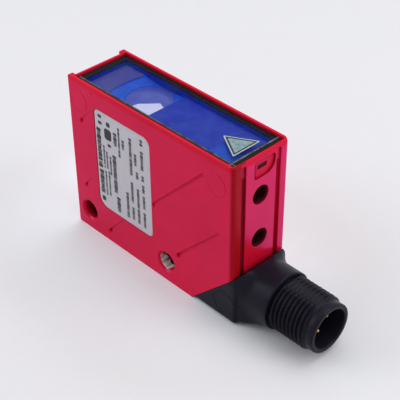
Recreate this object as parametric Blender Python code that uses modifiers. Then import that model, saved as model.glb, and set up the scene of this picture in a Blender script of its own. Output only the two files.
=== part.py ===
"""Cubic photoelectric sensor with a swivelling round plug connector.

The frame: the origin is the centre of the housing's flat rear face, +Z is the optical axis (the
window looks up), +X points to the connector end, and the label side faces -Y. Numbers below are
millimetres, and every helper turns them into the metres that Blender works in.
"""

import math

import bmesh
import bpy
from mathutils import Matrix, Vector

MM = 0.001

# ---- Driving dimensions ---------------------------------------------------------------------
LENGTH = 48.0            # X, over both ends of the housing
WIDTH = 15.0             # Y, over both side faces
HEIGHT = 38.0            # Z, rear face to window rim
CUT = 11.5               # leg of the 45 degree corner cut that carries the connector
GAP = 0.3                # free space between neighbouring pieces

LEFT = -LENGTH / 2
RIGHT = LENGTH / 2
SIDE = WIDTH / 2

# Housing
END_ROUND = 0.9          # rounding of the connector end's upright edges
PLATE = 1.1              # side plates where they stand past the end cover
END_SET_BACK = 1.1       # end cover's face behind the side plates' edges
END_SHOULDER = 2.4       # depth of the seat that the end cover sits in
WALL = 1.5               # side walls around the cavity
FLOOR = 8.5              # top of the solid rear block that holds the fixing holes
CAVITY_RIGHT = RIGHT - 6.5
RIM = 0.6                # rim that shows around the window frame
REBATE_LEFT = LEFT + 1.7
REBATE_FLOOR = HEIGHT - 3.1
TOP_POCKET_FLOOR = HEIGHT - 6.6
TOP_POCKET_RIGHT = RIGHT - 2.0
CLEAR = 1.0              # how far a cutter stands past the face that it opens

# Fixing holes
FIX_RADIUS = 2.1
FIX_SINK_RADIUS = 2.5
FIX_SINK_DEPTH = 0.4
FIX_Z = 4.8
FIX_X = LEFT + 3.9
FIX_SPACING = 25.0
TAPPED_RADIUS = 2.0
TAPPED_DEPTH = 5.0
TAPPED_Z = (18.2, 28.6)

# Connector end face
GROOVE_Y = 4.7
GROOVE_STEPS = ((0.7, 0.6, HEIGHT - 3.6), (0.35, 0.64, HEIGHT - 0.7))     # depth, half width, top
CATCH_Y = (-1.9, 3.8)
CATCH_Z = (32.7, 36.7)
CATCH_RADII = (0.6, 2.6, 0.6, 0.6)
CATCH_DEPTH = 0.25
CATCH_SLOT_Y = (-0.7, 1.8)
CATCH_SLOT_Z = (34.5, 35.4)
CATCH_SLOT_DEPTH = 0.4

# Rating label and its recess
LABEL_X = (LEFT + 7.6, LEFT + 25.0)
LABEL_Z = (8.5, 33.5)
LABEL_RADII = (2.6, 1.0, 2.0, 0.7)
LABEL_RECESS = 0.45
LABEL_THICK = 0.15
LABEL_INSET = 0.25       # free edge of the recess all around the label

# End cover
COVER_THICK = 1.0
COVER_LIP = 0.6

# Window
FRAME_X = (LEFT + 2.0, RIGHT - 0.8)
FRAME_Y = 6.6
FRAME_Z = (HEIGHT - 2.2, HEIGHT - 0.5)
FRAME_RADII = (0.4, 0.2, 0.2, 0.4)
OPENING_X = (LEFT + 3.5, RIGHT - 2.6)
OPENING_Y = 5.5
OPENING_ROUND = 0.4
LEDGE = 0.5
LEDGE_Z = HEIGHT - 1.6
GLASS_Z = (HEIGHT - 1.3, HEIGHT - 0.7)
GLASS_INSET = 0.2
GASKET_X = (LEFT + 2.6, RIGHT - 0.9)
GASKET_Y = 6.7
GASKET_BAND = 0.7
GASKET_Z = (HEIGHT - 2.9, HEIGHT - 2.4)
STICKER = ((RIGHT - 10.0, -0.2), (RIGHT - 3.7, -3.9), (RIGHT - 3.7, 3.4))
STICKER_LIFT = 0.03
STICKER_THICK = 0.1

# Optics
LENS_X = LEFT + 16.2
LENS_RADIUS = 5.0
LENS_RIM_Z = (34.6, 35.1)
LENS_DOME = 0.9
HOLDER_X = (LEFT + 4.5, LEFT + 21.5)
HOLDER_Y = 5.5
HOLDER_Z = (33.2, 35.5)
DISH_RADIUS = 7.6
BAFFLE_Y = 4.7
BAFFLE_Z = (35.8, 36.4)
LEFT_BAFFLE_X = LEFT + 4.3
ARC_CENTRE_X = LEFT + 27.8
ARC_RADIUS = 18.9
RIGHT_BAFFLE_X = (LEFT + 21.8, RIGHT - 3.5)
CARRIER_X = (LEFT + 5.0, LEFT + 40.0)
CARRIER_Y = 5.5
CARRIER_Z = (21.0, 32.9)
RECEIVE_BORE = 4.6
BEAM_Z = 27.0
BEAM_BORE = 2.9
LASER_X = LEFT + 32.0
COLLIMATOR_X = LEFT + 27.0
SPLITTER_HALF = 2.8
SPLITTER_THICK = 0.6
RECEIVER_BOARD_HALF = 5.0
RECEIVER_BOARD_Y = (-5.0, 3.0)
RECEIVER_BOARD_Z = (19.8, 20.6)
DETECTOR_HALF = 2.0
DETECTOR_Z = (20.8, 22.0)

# Electronics
BOARD_X = (LEFT + 3.4, LEFT + 32.5)
BOARD_Y = (3.6, 4.6)
BOARD_Z = (9.2, 19.4)
BOARD_SCREWS = ((LEFT + 8.4, 11.6), (LEFT + 26.6, 17.0))
BOSS_RADIUS = 1.9
BOSS_ROOT = 0.2          # how deep a boss starts in the side wall
BOSS_HEIGHT = 1.3
SCREW_HOLE = 1.2
SCREW_HOLE_DEPTH = 2.7
SCREW_RADIUS = 0.9
SCREW_LENGTH = 2.9
SCREW_HEAD_RADIUS = 1.7
SCREW_HEAD_HEIGHT = 1.0
SCREW_SOCKET_RADIUS = 0.7
CHIP_FACE = BOARD_Y[0] - GAP
LED_X = LEFT + 4.6
INDICATOR_Y = 2.3
INDICATOR_Z = (18.0, 14.4)
INDICATOR_RADIUS = 1.0
INDICATOR_LENGTH = 1.9

# On the board: name, middle along X and Z, size along X, Z and Y, finish
COMPONENTS = (
    ("controller_chip", LEFT + 14.5, 14.0, (5.0, 5.0, 0.9), "chip_black"),
    ("amplifier_chip", LEFT + 20.8, 12.6, (4.0, 5.0, 1.4), "chip_black"),
    ("regulator_chip", LEFT + 26.0, 12.2, (3.4, 4.4, 1.6), "chip_black"),
    ("capacitor_1", LEFT + 9.4, 16.2, (3.2, 1.6, 1.6), "ceramic"),
    ("capacitor_2", LEFT + 20.8, 17.2, (3.2, 1.6, 1.6), "ceramic"),
    ("capacitor_3", LEFT + 14.5, 18.0, (2.0, 1.2, 1.2), "ceramic"),
    ("led_green", LED_X, INDICATOR_Z[0], (1.6, 1.6, 1.2), "green_lens"),
    ("led_yellow", LED_X, INDICATOR_Z[1], (1.6, 1.6, 1.2), "yellow_lens"),
    ("wire_socket", LEFT + 30.6, 13.4, (2.8, 6.4, 3.0), "grey_plastic"),
)

# Swivel: its axis is square to the 45 degree face and goes through the face's centre
FACE_CENTRE = Vector((RIGHT - CUT / 2, 0.0, CUT / 2))
SWIVEL_IN = Vector((-1.0, 0.0, 1.0)).normalized()
BORE_RADIUS = 4.2
BORE_DEPTH = 5.2
SEAT_RADIUS = 5.7
STUB_RADIUS = 3.9
STUB_BORE = 2.6
STUB_END = 7.4
RING_NECK = 3.4
RING_RADIUS = 5.2
RING_AT = (5.5, 6.3)
SEAL_NECK = 3.1
SEAL_AT = (1.6, 3.0)
SEAL_CIRCLE = 3.63
SEAL_SECTION = 0.42

ELBOW_END = RIGHT + 0.8
ELBOW_ROUND = 1.2
ELBOW_WALL = 1.2
ELBOW_HOLLOW_Y = 5.0
ELBOW_LINK_RADIUS = 2.2
ELBOW_BORE_RADIUS = 3.4

# Round plug: its axis runs along X
PLUG_Z = 6.7
PLUG_RADIUS = 6.0
BARREL_RADIUS = 6.35
BARREL_END = RIGHT + 8.0
THREAD_END = RIGHT + 17.4
PLUG_END = RIGHT + 19.1
COLLAR_RADIUS = 5.4
SOCKET_RADIUS = 4.3
SLEEVE_TAIL_RADIUS = 4.9
SLEEVE_SEAT_RADIUS = 5.2
SLEEVE_SEAT_X = RIGHT + 4.0
SOCKET_FLOOR = RIGHT + 10.5
PIN_RADIUS = 0.5
PIN_CIRCLE = 2.5
PIN_TIP = RIGHT + 16.4
INSERT_BACK = SLEEVE_SEAT_X + 1.6
WIRES_RADIUS = 1.1

# Facets of one turn
FINE = 48
PLAIN = 32
COARSE = 20

FINISHES = {
    "red_paint": ((0.52, 0.010, 0.085), 0.42, 0.0),
    "black_plastic": ((0.016, 0.018, 0.026), 0.45, 0.0),
    "grey_plastic": ((0.20, 0.20, 0.22), 0.5, 0.0),
    "seal_rubber": ((0.02, 0.02, 0.02), 0.8, 0.0),
    "blue_glass": ((0.05, 0.09, 0.40), 0.05, 0.0),
    "clear_glass": ((0.75, 0.80, 0.92), 0.03, 0.0),
    "silver_label": ((0.58, 0.57, 0.61), 0.5, 0.0),
    "pale_label": ((0.45, 0.55, 0.52), 0.5, 0.0),
    "green_board": ((0.02, 0.14, 0.06), 0.5, 0.0),
    "chip_black": ((0.015, 0.015, 0.015), 0.5, 0.0),
    "ceramic": ((0.42, 0.30, 0.18), 0.5, 0.0),
    "steel": ((0.60, 0.60, 0.62), 0.3, 1.0),
    "gold": ((0.85, 0.58, 0.22), 0.25, 1.0),
    "green_lens": ((0.10, 0.50, 0.12), 0.2, 0.0),
    "yellow_lens": ((0.75, 0.50, 0.05), 0.2, 0.0),
    "cable_grey": ((0.10, 0.10, 0.11), 0.6, 0.0),
}

# World directions of a 2D outline's own X, Y and Z, for outlines drawn in these planes
PLANES = {
    "XY": Matrix(((1, 0, 0), (0, 1, 0), (0, 0, 1))),
    "XZ": Matrix(((1, 0, 0), (0, 0, -1), (0, 1, 0))),
    "YZ": Matrix(((0, 0, 1), (1, 0, 0), (0, 1, 0))),
}


# ---- Scene and materials --------------------------------------------------------------------
def clear_scene():
    for obj in list(bpy.data.objects):
        bpy.data.objects.remove(obj, do_unlink=True)


def new_collection(name):
    collection = bpy.data.collections.new(name)
    bpy.context.scene.collection.children.link(collection)
    return collection


def finish_of(name):
    """The Principled material of one finish, with its own copy for each piece that uses it."""
    colour, roughness, metallic = FINISHES[name]
    material = bpy.data.materials.new(name)
    material.use_nodes = True
    shader = material.node_tree.nodes["Principled BSDF"]
    shader.inputs["Base Color"].default_value = (*colour, 1.0)
    shader.inputs["Roughness"].default_value = roughness
    shader.inputs["Metallic"].default_value = metallic
    material.diffuse_color = (*colour, 1.0)
    return material


clear_scene()
PARTS = new_collection("photoelectric_sensor")
CUTTERS = new_collection("cutters")


# ---- Shapes ---------------------------------------------------------------------------------
def add_object(name, mesh, matrix=None):
    obj = bpy.data.objects.new(name, mesh)
    obj.matrix_world = matrix or Matrix()
    PARTS.objects.link(obj)
    return obj


def mesh_of(name, bm):
    bmesh.ops.recalc_face_normals(bm, faces=bm.faces)
    mesh = bpy.data.meshes.new(name)
    bm.to_mesh(mesh)
    bm.free()
    return mesh


def box(name, x, y, z):
    """A box between two values on each axis, with its origin at its centre."""
    low = Vector((x[0], y[0], z[0])) * MM
    high = Vector((x[1], y[1], z[1])) * MM
    bm = bmesh.new()
    bmesh.ops.create_cube(bm, size=1.0)
    bmesh.ops.scale(bm, vec=high - low, verts=bm.verts)
    return add_object(name, mesh_of(name, bm), Matrix.Translation((low + high) / 2))


def along(start, direction):
    """The placing that puts a shape's own Z along a direction, from a start point."""
    turn = Vector(direction).to_track_quat("Z", "Y").to_matrix().to_4x4()
    return Matrix.Translation(Vector(start) * MM) @ turn


def smooth(obj, angle=35.0):
    obj.data.shade_smooth()
    obj.data.set_sharp_from_angle(angle=math.radians(angle))


def rod(name, start, direction, length, radius, end_radius=None, facets=PLAIN):
    """A round rod, or a cone where it has an end radius, that starts at a point."""
    far_radius = radius if end_radius is None else end_radius
    bm = bmesh.new()
    bmesh.ops.create_cone(
        bm, cap_ends=True, segments=facets, radius1=radius * MM, radius2=far_radius * MM, depth=length * MM
    )
    bmesh.ops.translate(bm, verts=bm.verts, vec=(0.0, 0.0, length * MM / 2))
    obj = add_object(name, mesh_of(name, bm), along(start, direction))
    smooth(obj)
    return obj


def turned(name, start, direction, profile, closed=False, facets=PLAIN):
    """A turned shape: (radius, height) points that run down the outer side, top to bottom."""
    mesh = bpy.data.meshes.new(name)
    points = [(radius * MM, 0.0, height * MM) for radius, height in profile]
    edges = [(i, i + 1) for i in range(len(points) - 1)]
    if closed:
        edges.append((len(points) - 1, 0))
    mesh.from_pydata(points, edges, [])
    obj = add_object(name, mesh, along(start, direction))
    screw = obj.modifiers.new("turn", "SCREW")
    screw.angle = math.tau
    screw.steps = facets
    screw.render_steps = facets
    screw.use_merge_vertices = True
    screw.merge_threshold = 0.000001
    screw.use_smooth_shade = True
    return obj


def rounded(corners, radii, steps=4):
    """A closed outline whose corners, in order, are rounded to their own radii."""
    points = []
    count = len(corners)
    for i, (corner, radius) in enumerate(zip(corners, radii)):
        here = Vector(corner)
        back = (Vector(corners[i - 1]) - here).normalized()
        ahead = (Vector(corners[(i + 1) % count]) - here).normalized()
        if radius <= 0:
            points.append(here)
            continue
        half = back.angle(ahead) / 2
        centre = here + (back + ahead).normalized() * radius / math.sin(half)
        first = here + back * radius / math.tan(half) - centre
        last = here + ahead * radius / math.tan(half) - centre
        sweep = first.angle_signed(last)
        for step in range(steps + 1):
            angle = -sweep * step / steps
            turn = Matrix.Rotation(angle, 2)
            points.append(centre + turn @ first)
    return points


def rectangle(u, v):
    return [(u[0], v[0]), (u[1], v[0]), (u[1], v[1]), (u[0], v[1])]


def shrunk(span, amount):
    return (span[0] + amount, span[1] - amount)


def slab(name, outline, plane, span):
    """A flat outline in a plane, with its thickness between two values on the plane's normal."""
    curve = bpy.data.curves.new(name, "CURVE")
    curve.dimensions = "2D"
    curve.fill_mode = "BOTH"
    curve.extrude = (span[1] - span[0]) * MM / 2
    spline = curve.splines.new("POLY")
    spline.points.add(len(outline) - 1)
    for point, (u, v) in zip(spline.points, outline):
        point.co = (u * MM, v * MM, 0.0, 1.0)
    spline.use_cyclic_u = True
    basis = PLANES[plane].to_4x4()
    middle = (span[0] + span[1]) * MM / 2
    normal = Vector((0.0, 1.0, 0.0)) if plane == "XZ" else basis.to_3x3() @ Vector((0.0, 0.0, 1.0))
    source = add_object(name + "_outline", curve, Matrix.Translation(normal * middle) @ basis)
    return welded_mesh(name, source)


def welded_mesh(name, source):
    """The mesh of a curve object, with its caps welded on, in place of the curve."""
    depsgraph = bpy.context.evaluated_depsgraph_get()
    mesh = bpy.data.meshes.new_from_object(source.evaluated_get(depsgraph))
    mesh.name = name
    bm = bmesh.new()
    bm.from_mesh(mesh)
    bmesh.ops.remove_doubles(bm, verts=bm.verts, dist=0.000001)
    bmesh.ops.recalc_face_normals(bm, faces=bm.faces)
    bm.to_mesh(mesh)
    bm.free()
    obj = add_object(name, mesh, source.matrix_world.copy())
    bpy.data.objects.remove(source, do_unlink=True)
    return obj


def apply_boolean(target, tool, operation):
    modifier = target.modifiers.new(tool.name, "BOOLEAN")
    modifier.object = tool
    modifier.operation = operation
    modifier.solver = "EXACT"
    tool.hide_render = True
    tool.display_type = "WIRE"
    PARTS.objects.unlink(tool)
    CUTTERS.objects.link(tool)


def cut(target, *tools):
    for tool in tools:
        apply_boolean(target, tool, "DIFFERENCE")


def join(target, *tools):
    for tool in tools:
        apply_boolean(target, tool, "UNION")


def round_end_edges(obj, end_x, radius, segments=3):
    """Rounds an XZ slab's two upright edges at its +X end, where that end meets the side faces."""
    bm = bmesh.new()
    bm.from_mesh(obj.data)
    edges = []
    for edge in bm.edges:
        start, stop = (vert.co / MM for vert in edge.verts)
        if max(abs(start.x - end_x), abs(stop.x - end_x), abs(start.z - stop.z)) < 0.01:
            edges.append(edge)
    bmesh.ops.bevel(
        bm, geom=edges, offset=radius * MM, segments=segments, profile=0.5, affect="EDGES",
        clamp_overlap=True,
    )
    bm.to_mesh(obj.data)
    bm.free()


def paint(obj, finish):
    obj.data.materials.clear()
    obj.data.materials.append(finish_of(finish))
    return obj


# ---- Housing and its cover ------------------------------------------------------------------
def swivel_point(depth):
    """A point on the swivel axis, at a depth behind the 45 degree face."""
    return FACE_CENTRE + SWIVEL_IN * depth


def make_housing():
    outline = [(LEFT, 0.0), (RIGHT - CUT, 0.0), (RIGHT, CUT), (RIGHT, HEIGHT), (LEFT, HEIGHT)]
    housing = slab("housing", outline, "XZ", (-SIDE, SIDE))
    round_end_edges(housing, RIGHT, END_ROUND)
    inner = SIDE - WALL
    between_plates = (PLATE - SIDE, SIDE - PLATE)
    over = HEIGHT + CLEAR
    cut(
        housing,
        box("cut_end", (LEFT - CLEAR, LEFT + END_SET_BACK), between_plates, (-CLEAR, over)),
        box("cut_end_seat", (LEFT - CLEAR, LEFT + END_SHOULDER), between_plates, (FLOOR, over)),
        box("cut_cavity", (LEFT, CAVITY_RIGHT), (-inner, inner), (FLOOR, over)),
        box("cut_top", (CAVITY_RIGHT - CLEAR, TOP_POCKET_RIGHT), (-inner, inner), (TOP_POCKET_FLOOR, over)),
        box("cut_rebate", (REBATE_LEFT, RIGHT - RIM), (RIM - SIDE, SIDE - RIM), (REBATE_FLOOR, over)),
    )
    catch = rounded(rectangle(CATCH_Y, CATCH_Z), CATCH_RADII)
    cut(
        housing,
        slab("cut_catch", catch, "YZ", (RIGHT - CATCH_DEPTH, RIGHT + CLEAR)),
        box("cut_catch_slot", (RIGHT - CATCH_SLOT_DEPTH, RIGHT + CLEAR), CATCH_SLOT_Y, CATCH_SLOT_Z),
    )
    for i, (x, z) in enumerate(BOARD_SCREWS):
        foot = SIDE - WALL + BOSS_ROOT
        join(housing, rod(f"boss_{i}", (x, foot, z), (0, -1, 0), BOSS_HEIGHT, BOSS_RADIUS, facets=COARSE))
        hole = rod(f"cut_boss_{i}", (x, 4.0, z), (0, 1, 0), SCREW_HOLE_DEPTH, SCREW_HOLE, facets=COARSE)
        cut(housing, hole)
    past = 0.2
    sunk = FIX_SINK_RADIUS + past
    fixing = [
        (0.0, SIDE + past), (sunk, SIDE + past), (FIX_RADIUS, SIDE - FIX_SINK_DEPTH),
        (FIX_RADIUS, FIX_SINK_DEPTH - SIDE), (sunk, -SIDE - past), (0.0, -SIDE - past),
    ]
    for i in range(2):
        middle = (FIX_X + i * FIX_SPACING, 0, FIX_Z)
        cut(housing, turned(f"cut_fixing_{i}", middle, (0, 1, 0), fixing))
    for i, z in enumerate(TAPPED_Z):
        start = (RIGHT + CLEAR, 0, z)
        cut(housing, rod(f"cut_tapped_{i}", start, (-1, 0, 0), TAPPED_DEPTH + CLEAR, TAPPED_RADIUS))
    for side, word in ((-1, "near"), (1, "far")):
        for i, (depth, half, top) in enumerate(GROOVE_STEPS):
            across = (side * GROOVE_Y - half, side * GROOVE_Y + half)
            outline = rounded(rectangle(across, (0.0, top)), (0, 0, half * 0.9, half * 0.9))
            cut(housing, slab(f"cut_groove_{word}_{i}", outline, "YZ", (RIGHT - depth, RIGHT + CLEAR)))
    label = rounded(rectangle(LABEL_X, LABEL_Z), LABEL_RADII)
    cut(
        housing,
        slab("cut_label", label, "XZ", (-SIDE - CLEAR, -SIDE + LABEL_RECESS)),
        rod("cut_swivel", swivel_point(-3.0), SWIVEL_IN, BORE_DEPTH + 4.0, BORE_RADIUS, facets=FINE),
        rod("cut_swivel_seat", swivel_point(BORE_DEPTH), SWIVEL_IN, 7.0, SEAT_RADIUS, facets=FINE),
    )
    return paint(housing, "red_paint")


def make_end_cover():
    """The cover between the side plates: a plate, with a thin lip beside the window frame."""
    face = LEFT + END_SET_BACK
    outline = [
        (face, FLOOR + GAP),
        (face + COVER_THICK, FLOOR + GAP),
        (face + COVER_THICK, REBATE_FLOOR),
        (face + COVER_LIP, REBATE_FLOOR),
        (face + COVER_LIP, HEIGHT),
        (face, HEIGHT),
    ]
    half = SIDE - PLATE - GAP
    cover = slab("end_cover", outline, "XZ", (-half, half))
    hole = INDICATOR_RADIUS + GAP / 2
    for i, z in enumerate(INDICATOR_Z):
        cut(cover, rod(f"cut_indicator_{i}", (LEFT, INDICATOR_Y, z), (1, 0, 0), 4.0, hole, facets=COARSE))
    return paint(cover, "red_paint")


def make_indicators():
    for colour, z in zip(("green", "yellow"), INDICATOR_Z):
        start = (LEFT + END_SET_BACK - 0.1, INDICATOR_Y, z)
        name = f"indicator_window_{colour}"
        pipe = rod(name, start, (1, 0, 0), INDICATOR_LENGTH, INDICATOR_RADIUS, facets=COARSE)
        paint(pipe, f"{colour}_lens")


def make_rating_label():
    radii = [max(radius - LABEL_INSET, 0.3) for radius in LABEL_RADII]
    outline = rounded(rectangle(shrunk(LABEL_X, LABEL_INSET), shrunk(LABEL_Z, LABEL_INSET)), radii)
    back = -SIDE + LABEL_RECESS - GAP
    return paint(slab("rating_label", outline, "XZ", (back - LABEL_THICK, back)), "silver_label")


# ---- Window ---------------------------------------------------------------------------------
def make_window():
    opening_y = (-OPENING_Y, OPENING_Y)
    corners = (OPENING_ROUND,) * 4
    outline = rounded(rectangle(FRAME_X, (-FRAME_Y, FRAME_Y)), FRAME_RADII)
    frame = slab("window_frame", outline, "XY", FRAME_Z)
    opening = rounded(rectangle(OPENING_X, opening_y), corners)
    ledge_z = (FRAME_Z[0] - CLEAR, HEIGHT)
    cut(
        frame,
        slab("cut_opening", opening, "XY", (LEDGE_Z, HEIGHT + CLEAR)),
        box("cut_ledge", shrunk(OPENING_X, LEDGE), shrunk(opening_y, LEDGE), ledge_z),
    )
    paint(frame, "black_plastic")

    pane = rounded(rectangle(shrunk(OPENING_X, GLASS_INSET), shrunk(opening_y, GLASS_INSET)), corners)
    paint(slab("window_glass", pane, "XY", GLASS_Z), "blue_glass")

    gasket_y = (-GASKET_Y, GASKET_Y)
    inside_z = (GASKET_Z[0] - CLEAR, GASKET_Z[1] + CLEAR)
    gasket = box("window_gasket", GASKET_X, gasket_y, GASKET_Z)
    cut(gasket, box("cut_gasket", shrunk(GASKET_X, GASKET_BAND), shrunk(gasket_y, GASKET_BAND), inside_z))
    paint(gasket, "seal_rubber")

    foot = GLASS_Z[1] + STICKER_LIFT
    sticker = rounded(STICKER, (0.3,) * 3, 2)
    paint(slab("window_sticker", sticker, "XY", (foot, foot + STICKER_THICK)), "pale_label")


# ---- Optics ---------------------------------------------------------------------------------
def make_lens():
    rim_low, rim_high = LENS_RIM_Z
    curve_radius = (LENS_RADIUS ** 2 + LENS_DOME ** 2) / (2 * LENS_DOME)
    profile = []
    steps = 6
    for step in range(steps + 1):
        radius = LENS_RADIUS * step / steps
        drop = curve_radius - math.sqrt(curve_radius ** 2 - radius ** 2)
        profile.append((radius, rim_high + LENS_DOME - drop))
    profile += [(LENS_RADIUS, rim_low), (0.0, rim_low)]
    paint(turned("receiver_lens", (LENS_X, 0, 0), (0, 0, 1), profile), "clear_glass")


def make_lens_holder():
    holder = box("lens_holder", HOLDER_X, (-HOLDER_Y, HOLDER_Y), HOLDER_Z)
    seat_z = LENS_RIM_Z[0] - GAP
    seat_radius = LENS_RADIUS + 0.2
    dish_height = HOLDER_Z[1] - LENS_RIM_Z[1] + 0.2
    cut(
        holder,
        rod("cut_lens_seat", (LENS_X, 0, seat_z), (0, 0, 1), 3.0, seat_radius),
        rod("cut_lens_view", (LENS_X, 0, HOLDER_Z[0] - 1.0), (0, 0, 1), 4.0, LENS_RADIUS - 0.7),
        rod(
            "cut_lens_dish", (LENS_X, 0, LENS_RIM_Z[1]), (0, 0, 1),
            dish_height, seat_radius - 0.1, DISH_RADIUS, facets=FINE,
        ),
    )
    paint(holder, "grey_plastic")


def make_baffles():
    left = box("left_baffle", (LEFT_BAFFLE_X, LENS_X), (-BAFFLE_Y, BAFFLE_Y), BAFFLE_Z)
    cut(left, rod("cut_baffle_arc", (ARC_CENTRE_X, 0, 30.0), (0, 0, 1), 10.0, ARC_RADIUS, facets=96))
    paint(left, "grey_plastic")
    paint(box("right_baffle", RIGHT_BAFFLE_X, (-BAFFLE_Y, BAFFLE_Y), BAFFLE_Z), "grey_plastic")


def make_carrier():
    carrier = box("optics_carrier", CARRIER_X, (-CARRIER_Y, CARRIER_Y), CARRIER_Z)
    height = CARRIER_Z[1] - CARRIER_Z[0] + 2.0
    cut(
        carrier,
        rod("cut_receive_bore", (LENS_X, 0, CARRIER_Z[0] - 1.0), (0, 0, 1), height, RECEIVE_BORE),
        rod("cut_beam_bore", (LENS_X, 0, BEAM_Z), (1, 0, 0), 30.0, BEAM_BORE),
    )
    paint(carrier, "black_plastic")


def make_emitter():
    """The laser in its can with a collimating lens, and the 45 degree splitter plate."""
    can = [
        (0.0, 2.6), (2.1, 2.6), (2.35, 2.3), (2.35, 0.0), (2.7, 0.0), (2.7, -1.2),
        (0.9, -1.2), (0.9, -3.4), (0.0, -3.4),
    ]
    paint(turned("laser_diode", (LASER_X, 0, BEAM_Z), (-1, 0, 0), can, facets=COARSE), "gold")
    lens = [(0.0, 1.1), (1.2, 0.95), (2.5, 0.4), (2.5, -0.4), (0.0, -0.4)]
    collimator = turned("collimator_lens", (COLLIMATOR_X, 0, BEAM_Z), (-1, 0, 0), lens, facets=COARSE)
    paint(collimator, "clear_glass")
    across = (-SPLITTER_HALF, SPLITTER_HALF)
    splitter = box("beam_splitter", across, across, (-SPLITTER_THICK / 2, SPLITTER_THICK / 2))
    tilt = Matrix.Rotation(math.radians(45.0), 4, "Y")
    splitter.matrix_world = Matrix.Translation(Vector((LENS_X, 0, BEAM_Z)) * MM) @ tilt
    paint(splitter, "clear_glass")


def make_receiver():
    board_x = (LENS_X - RECEIVER_BOARD_HALF, LENS_X + RECEIVER_BOARD_HALF)
    paint(box("receiver_board", board_x, RECEIVER_BOARD_Y, RECEIVER_BOARD_Z), "green_board")
    detector_x = (LENS_X - DETECTOR_HALF, LENS_X + DETECTOR_HALF)
    paint(box("photodiode", detector_x, (-DETECTOR_HALF, DETECTOR_HALF), DETECTOR_Z), "chip_black")


# ---- Electronics ----------------------------------------------------------------------------
def make_board():
    board = box("main_board", BOARD_X, BOARD_Y, BOARD_Z)
    head, top, chamfer = SCREW_HEAD_RADIUS, SCREW_HEAD_HEIGHT, 0.4
    profile = [
        (0.0, top), (head - chamfer, top), (head, top - chamfer), (head, 0.0),
        (SCREW_RADIUS, 0.0), (SCREW_RADIUS, -SCREW_LENGTH), (0.0, -SCREW_LENGTH),
    ]
    for i, (x, z) in enumerate(BOARD_SCREWS):
        cut(board, rod(f"cut_board_{i}", (x, 2.0, z), (0, 1, 0), 4.0, SCREW_HOLE, facets=COARSE))
        screw = turned(f"board_screw_{i + 1}", (x, CHIP_FACE, z), (0, -1, 0), profile, facets=COARSE)
        socket = (x, CHIP_FACE - SCREW_HEAD_HEIGHT - 0.5, z)
        cut(screw, rod(f"cut_screw_{i + 1}", socket, (0, 1, 0), 1.0, SCREW_SOCKET_RADIUS, facets=6))
        paint(screw, "steel")
    paint(board, "green_board")


def make_components():
    """The blocks on the board's label side."""
    for name, x, z, (length, height, depth), finish in COMPONENTS:
        across = (x - length / 2, x + length / 2)
        up = (z - height / 2, z + height / 2)
        paint(box(name, across, (CHIP_FACE - depth, CHIP_FACE), up), finish)


# ---- Swivelling connector -------------------------------------------------------------------
def make_elbow():
    """A wedge that fills the corner cut, a hollow stub on its 45 degree face, and a barrel."""
    face_shift = GAP * math.sqrt(2.0)
    toe = RIGHT - CUT + face_shift
    wedge = [(toe, 0.0), (ELBOW_END, 0.0), (ELBOW_END, ELBOW_END - toe)]
    elbow = slab("connector_elbow", wedge, "XZ", (-SIDE, SIDE))
    round_end_edges(elbow, ELBOW_END, ELBOW_ROUND)
    start = RIGHT - 5.0
    barrel = rod("barrel", (start, 0, PLUG_Z), (1, 0, 0), BARREL_END - start, BARREL_RADIUS, facets=FINE)
    far = 3 * HEIGHT
    behind = [(toe - far, -far), (toe + far, far), (toe - far, far)]
    behind_face = slab("behind_face", behind, "XZ", (-2 * WIDTH, 2 * WIDTH))
    cut(barrel, behind_face)
    foot = -2.0
    ring_slot = (RING_AT[0] - 0.05, RING_AT[1] + 0.15)
    stub = turned(
        "stub", swivel_point(0.0), SWIVEL_IN,
        [
            (0.0, STUB_END), (STUB_RADIUS - 0.3, STUB_END), (STUB_RADIUS, STUB_END - 0.3),
            (STUB_RADIUS, ring_slot[1]), (RING_NECK, ring_slot[1]),
            (RING_NECK, ring_slot[0]), (STUB_RADIUS, ring_slot[0]),
            (STUB_RADIUS, SEAL_AT[1]), (SEAL_NECK, SEAL_AT[1]), (SEAL_NECK, SEAL_AT[0]),
            (STUB_RADIUS, SEAL_AT[0]), (STUB_RADIUS, foot), (0.0, foot),
        ],
        facets=FINE,
    )
    join(elbow, barrel, stub)
    inner = ELBOW_WALL * (1 + math.sqrt(2.0))
    right = RIGHT - ELBOW_WALL
    hollow = [(toe + inner, ELBOW_WALL), (right, ELBOW_WALL), (right, right - toe - inner + ELBOW_WALL)]
    past_end = 9.0
    cut(
        elbow,
        slab("cut_elbow_hollow", hollow, "XZ", (-ELBOW_HOLLOW_Y, ELBOW_HOLLOW_Y)),
        rod("cut_elbow_link", (RIGHT - 1.6, 0, PLUG_Z), (1, 0, 0), 3.0, ELBOW_LINK_RADIUS, facets=COARSE),
        rod("cut_elbow_bore", (RIGHT + 0.4, 0, PLUG_Z), (1, 0, 0), past_end, ELBOW_BORE_RADIUS),
        rod("cut_seat", (SLEEVE_SEAT_X, 0, PLUG_Z), (1, 0, 0), past_end, SLEEVE_SEAT_RADIUS, facets=FINE),
        rod("cut_stub_bore", swivel_point(-3.4), SWIVEL_IN, STUB_END + 4.4, STUB_BORE),
    )
    return [paint(elbow, "black_plastic"), barrel, stub, behind_face]


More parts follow.
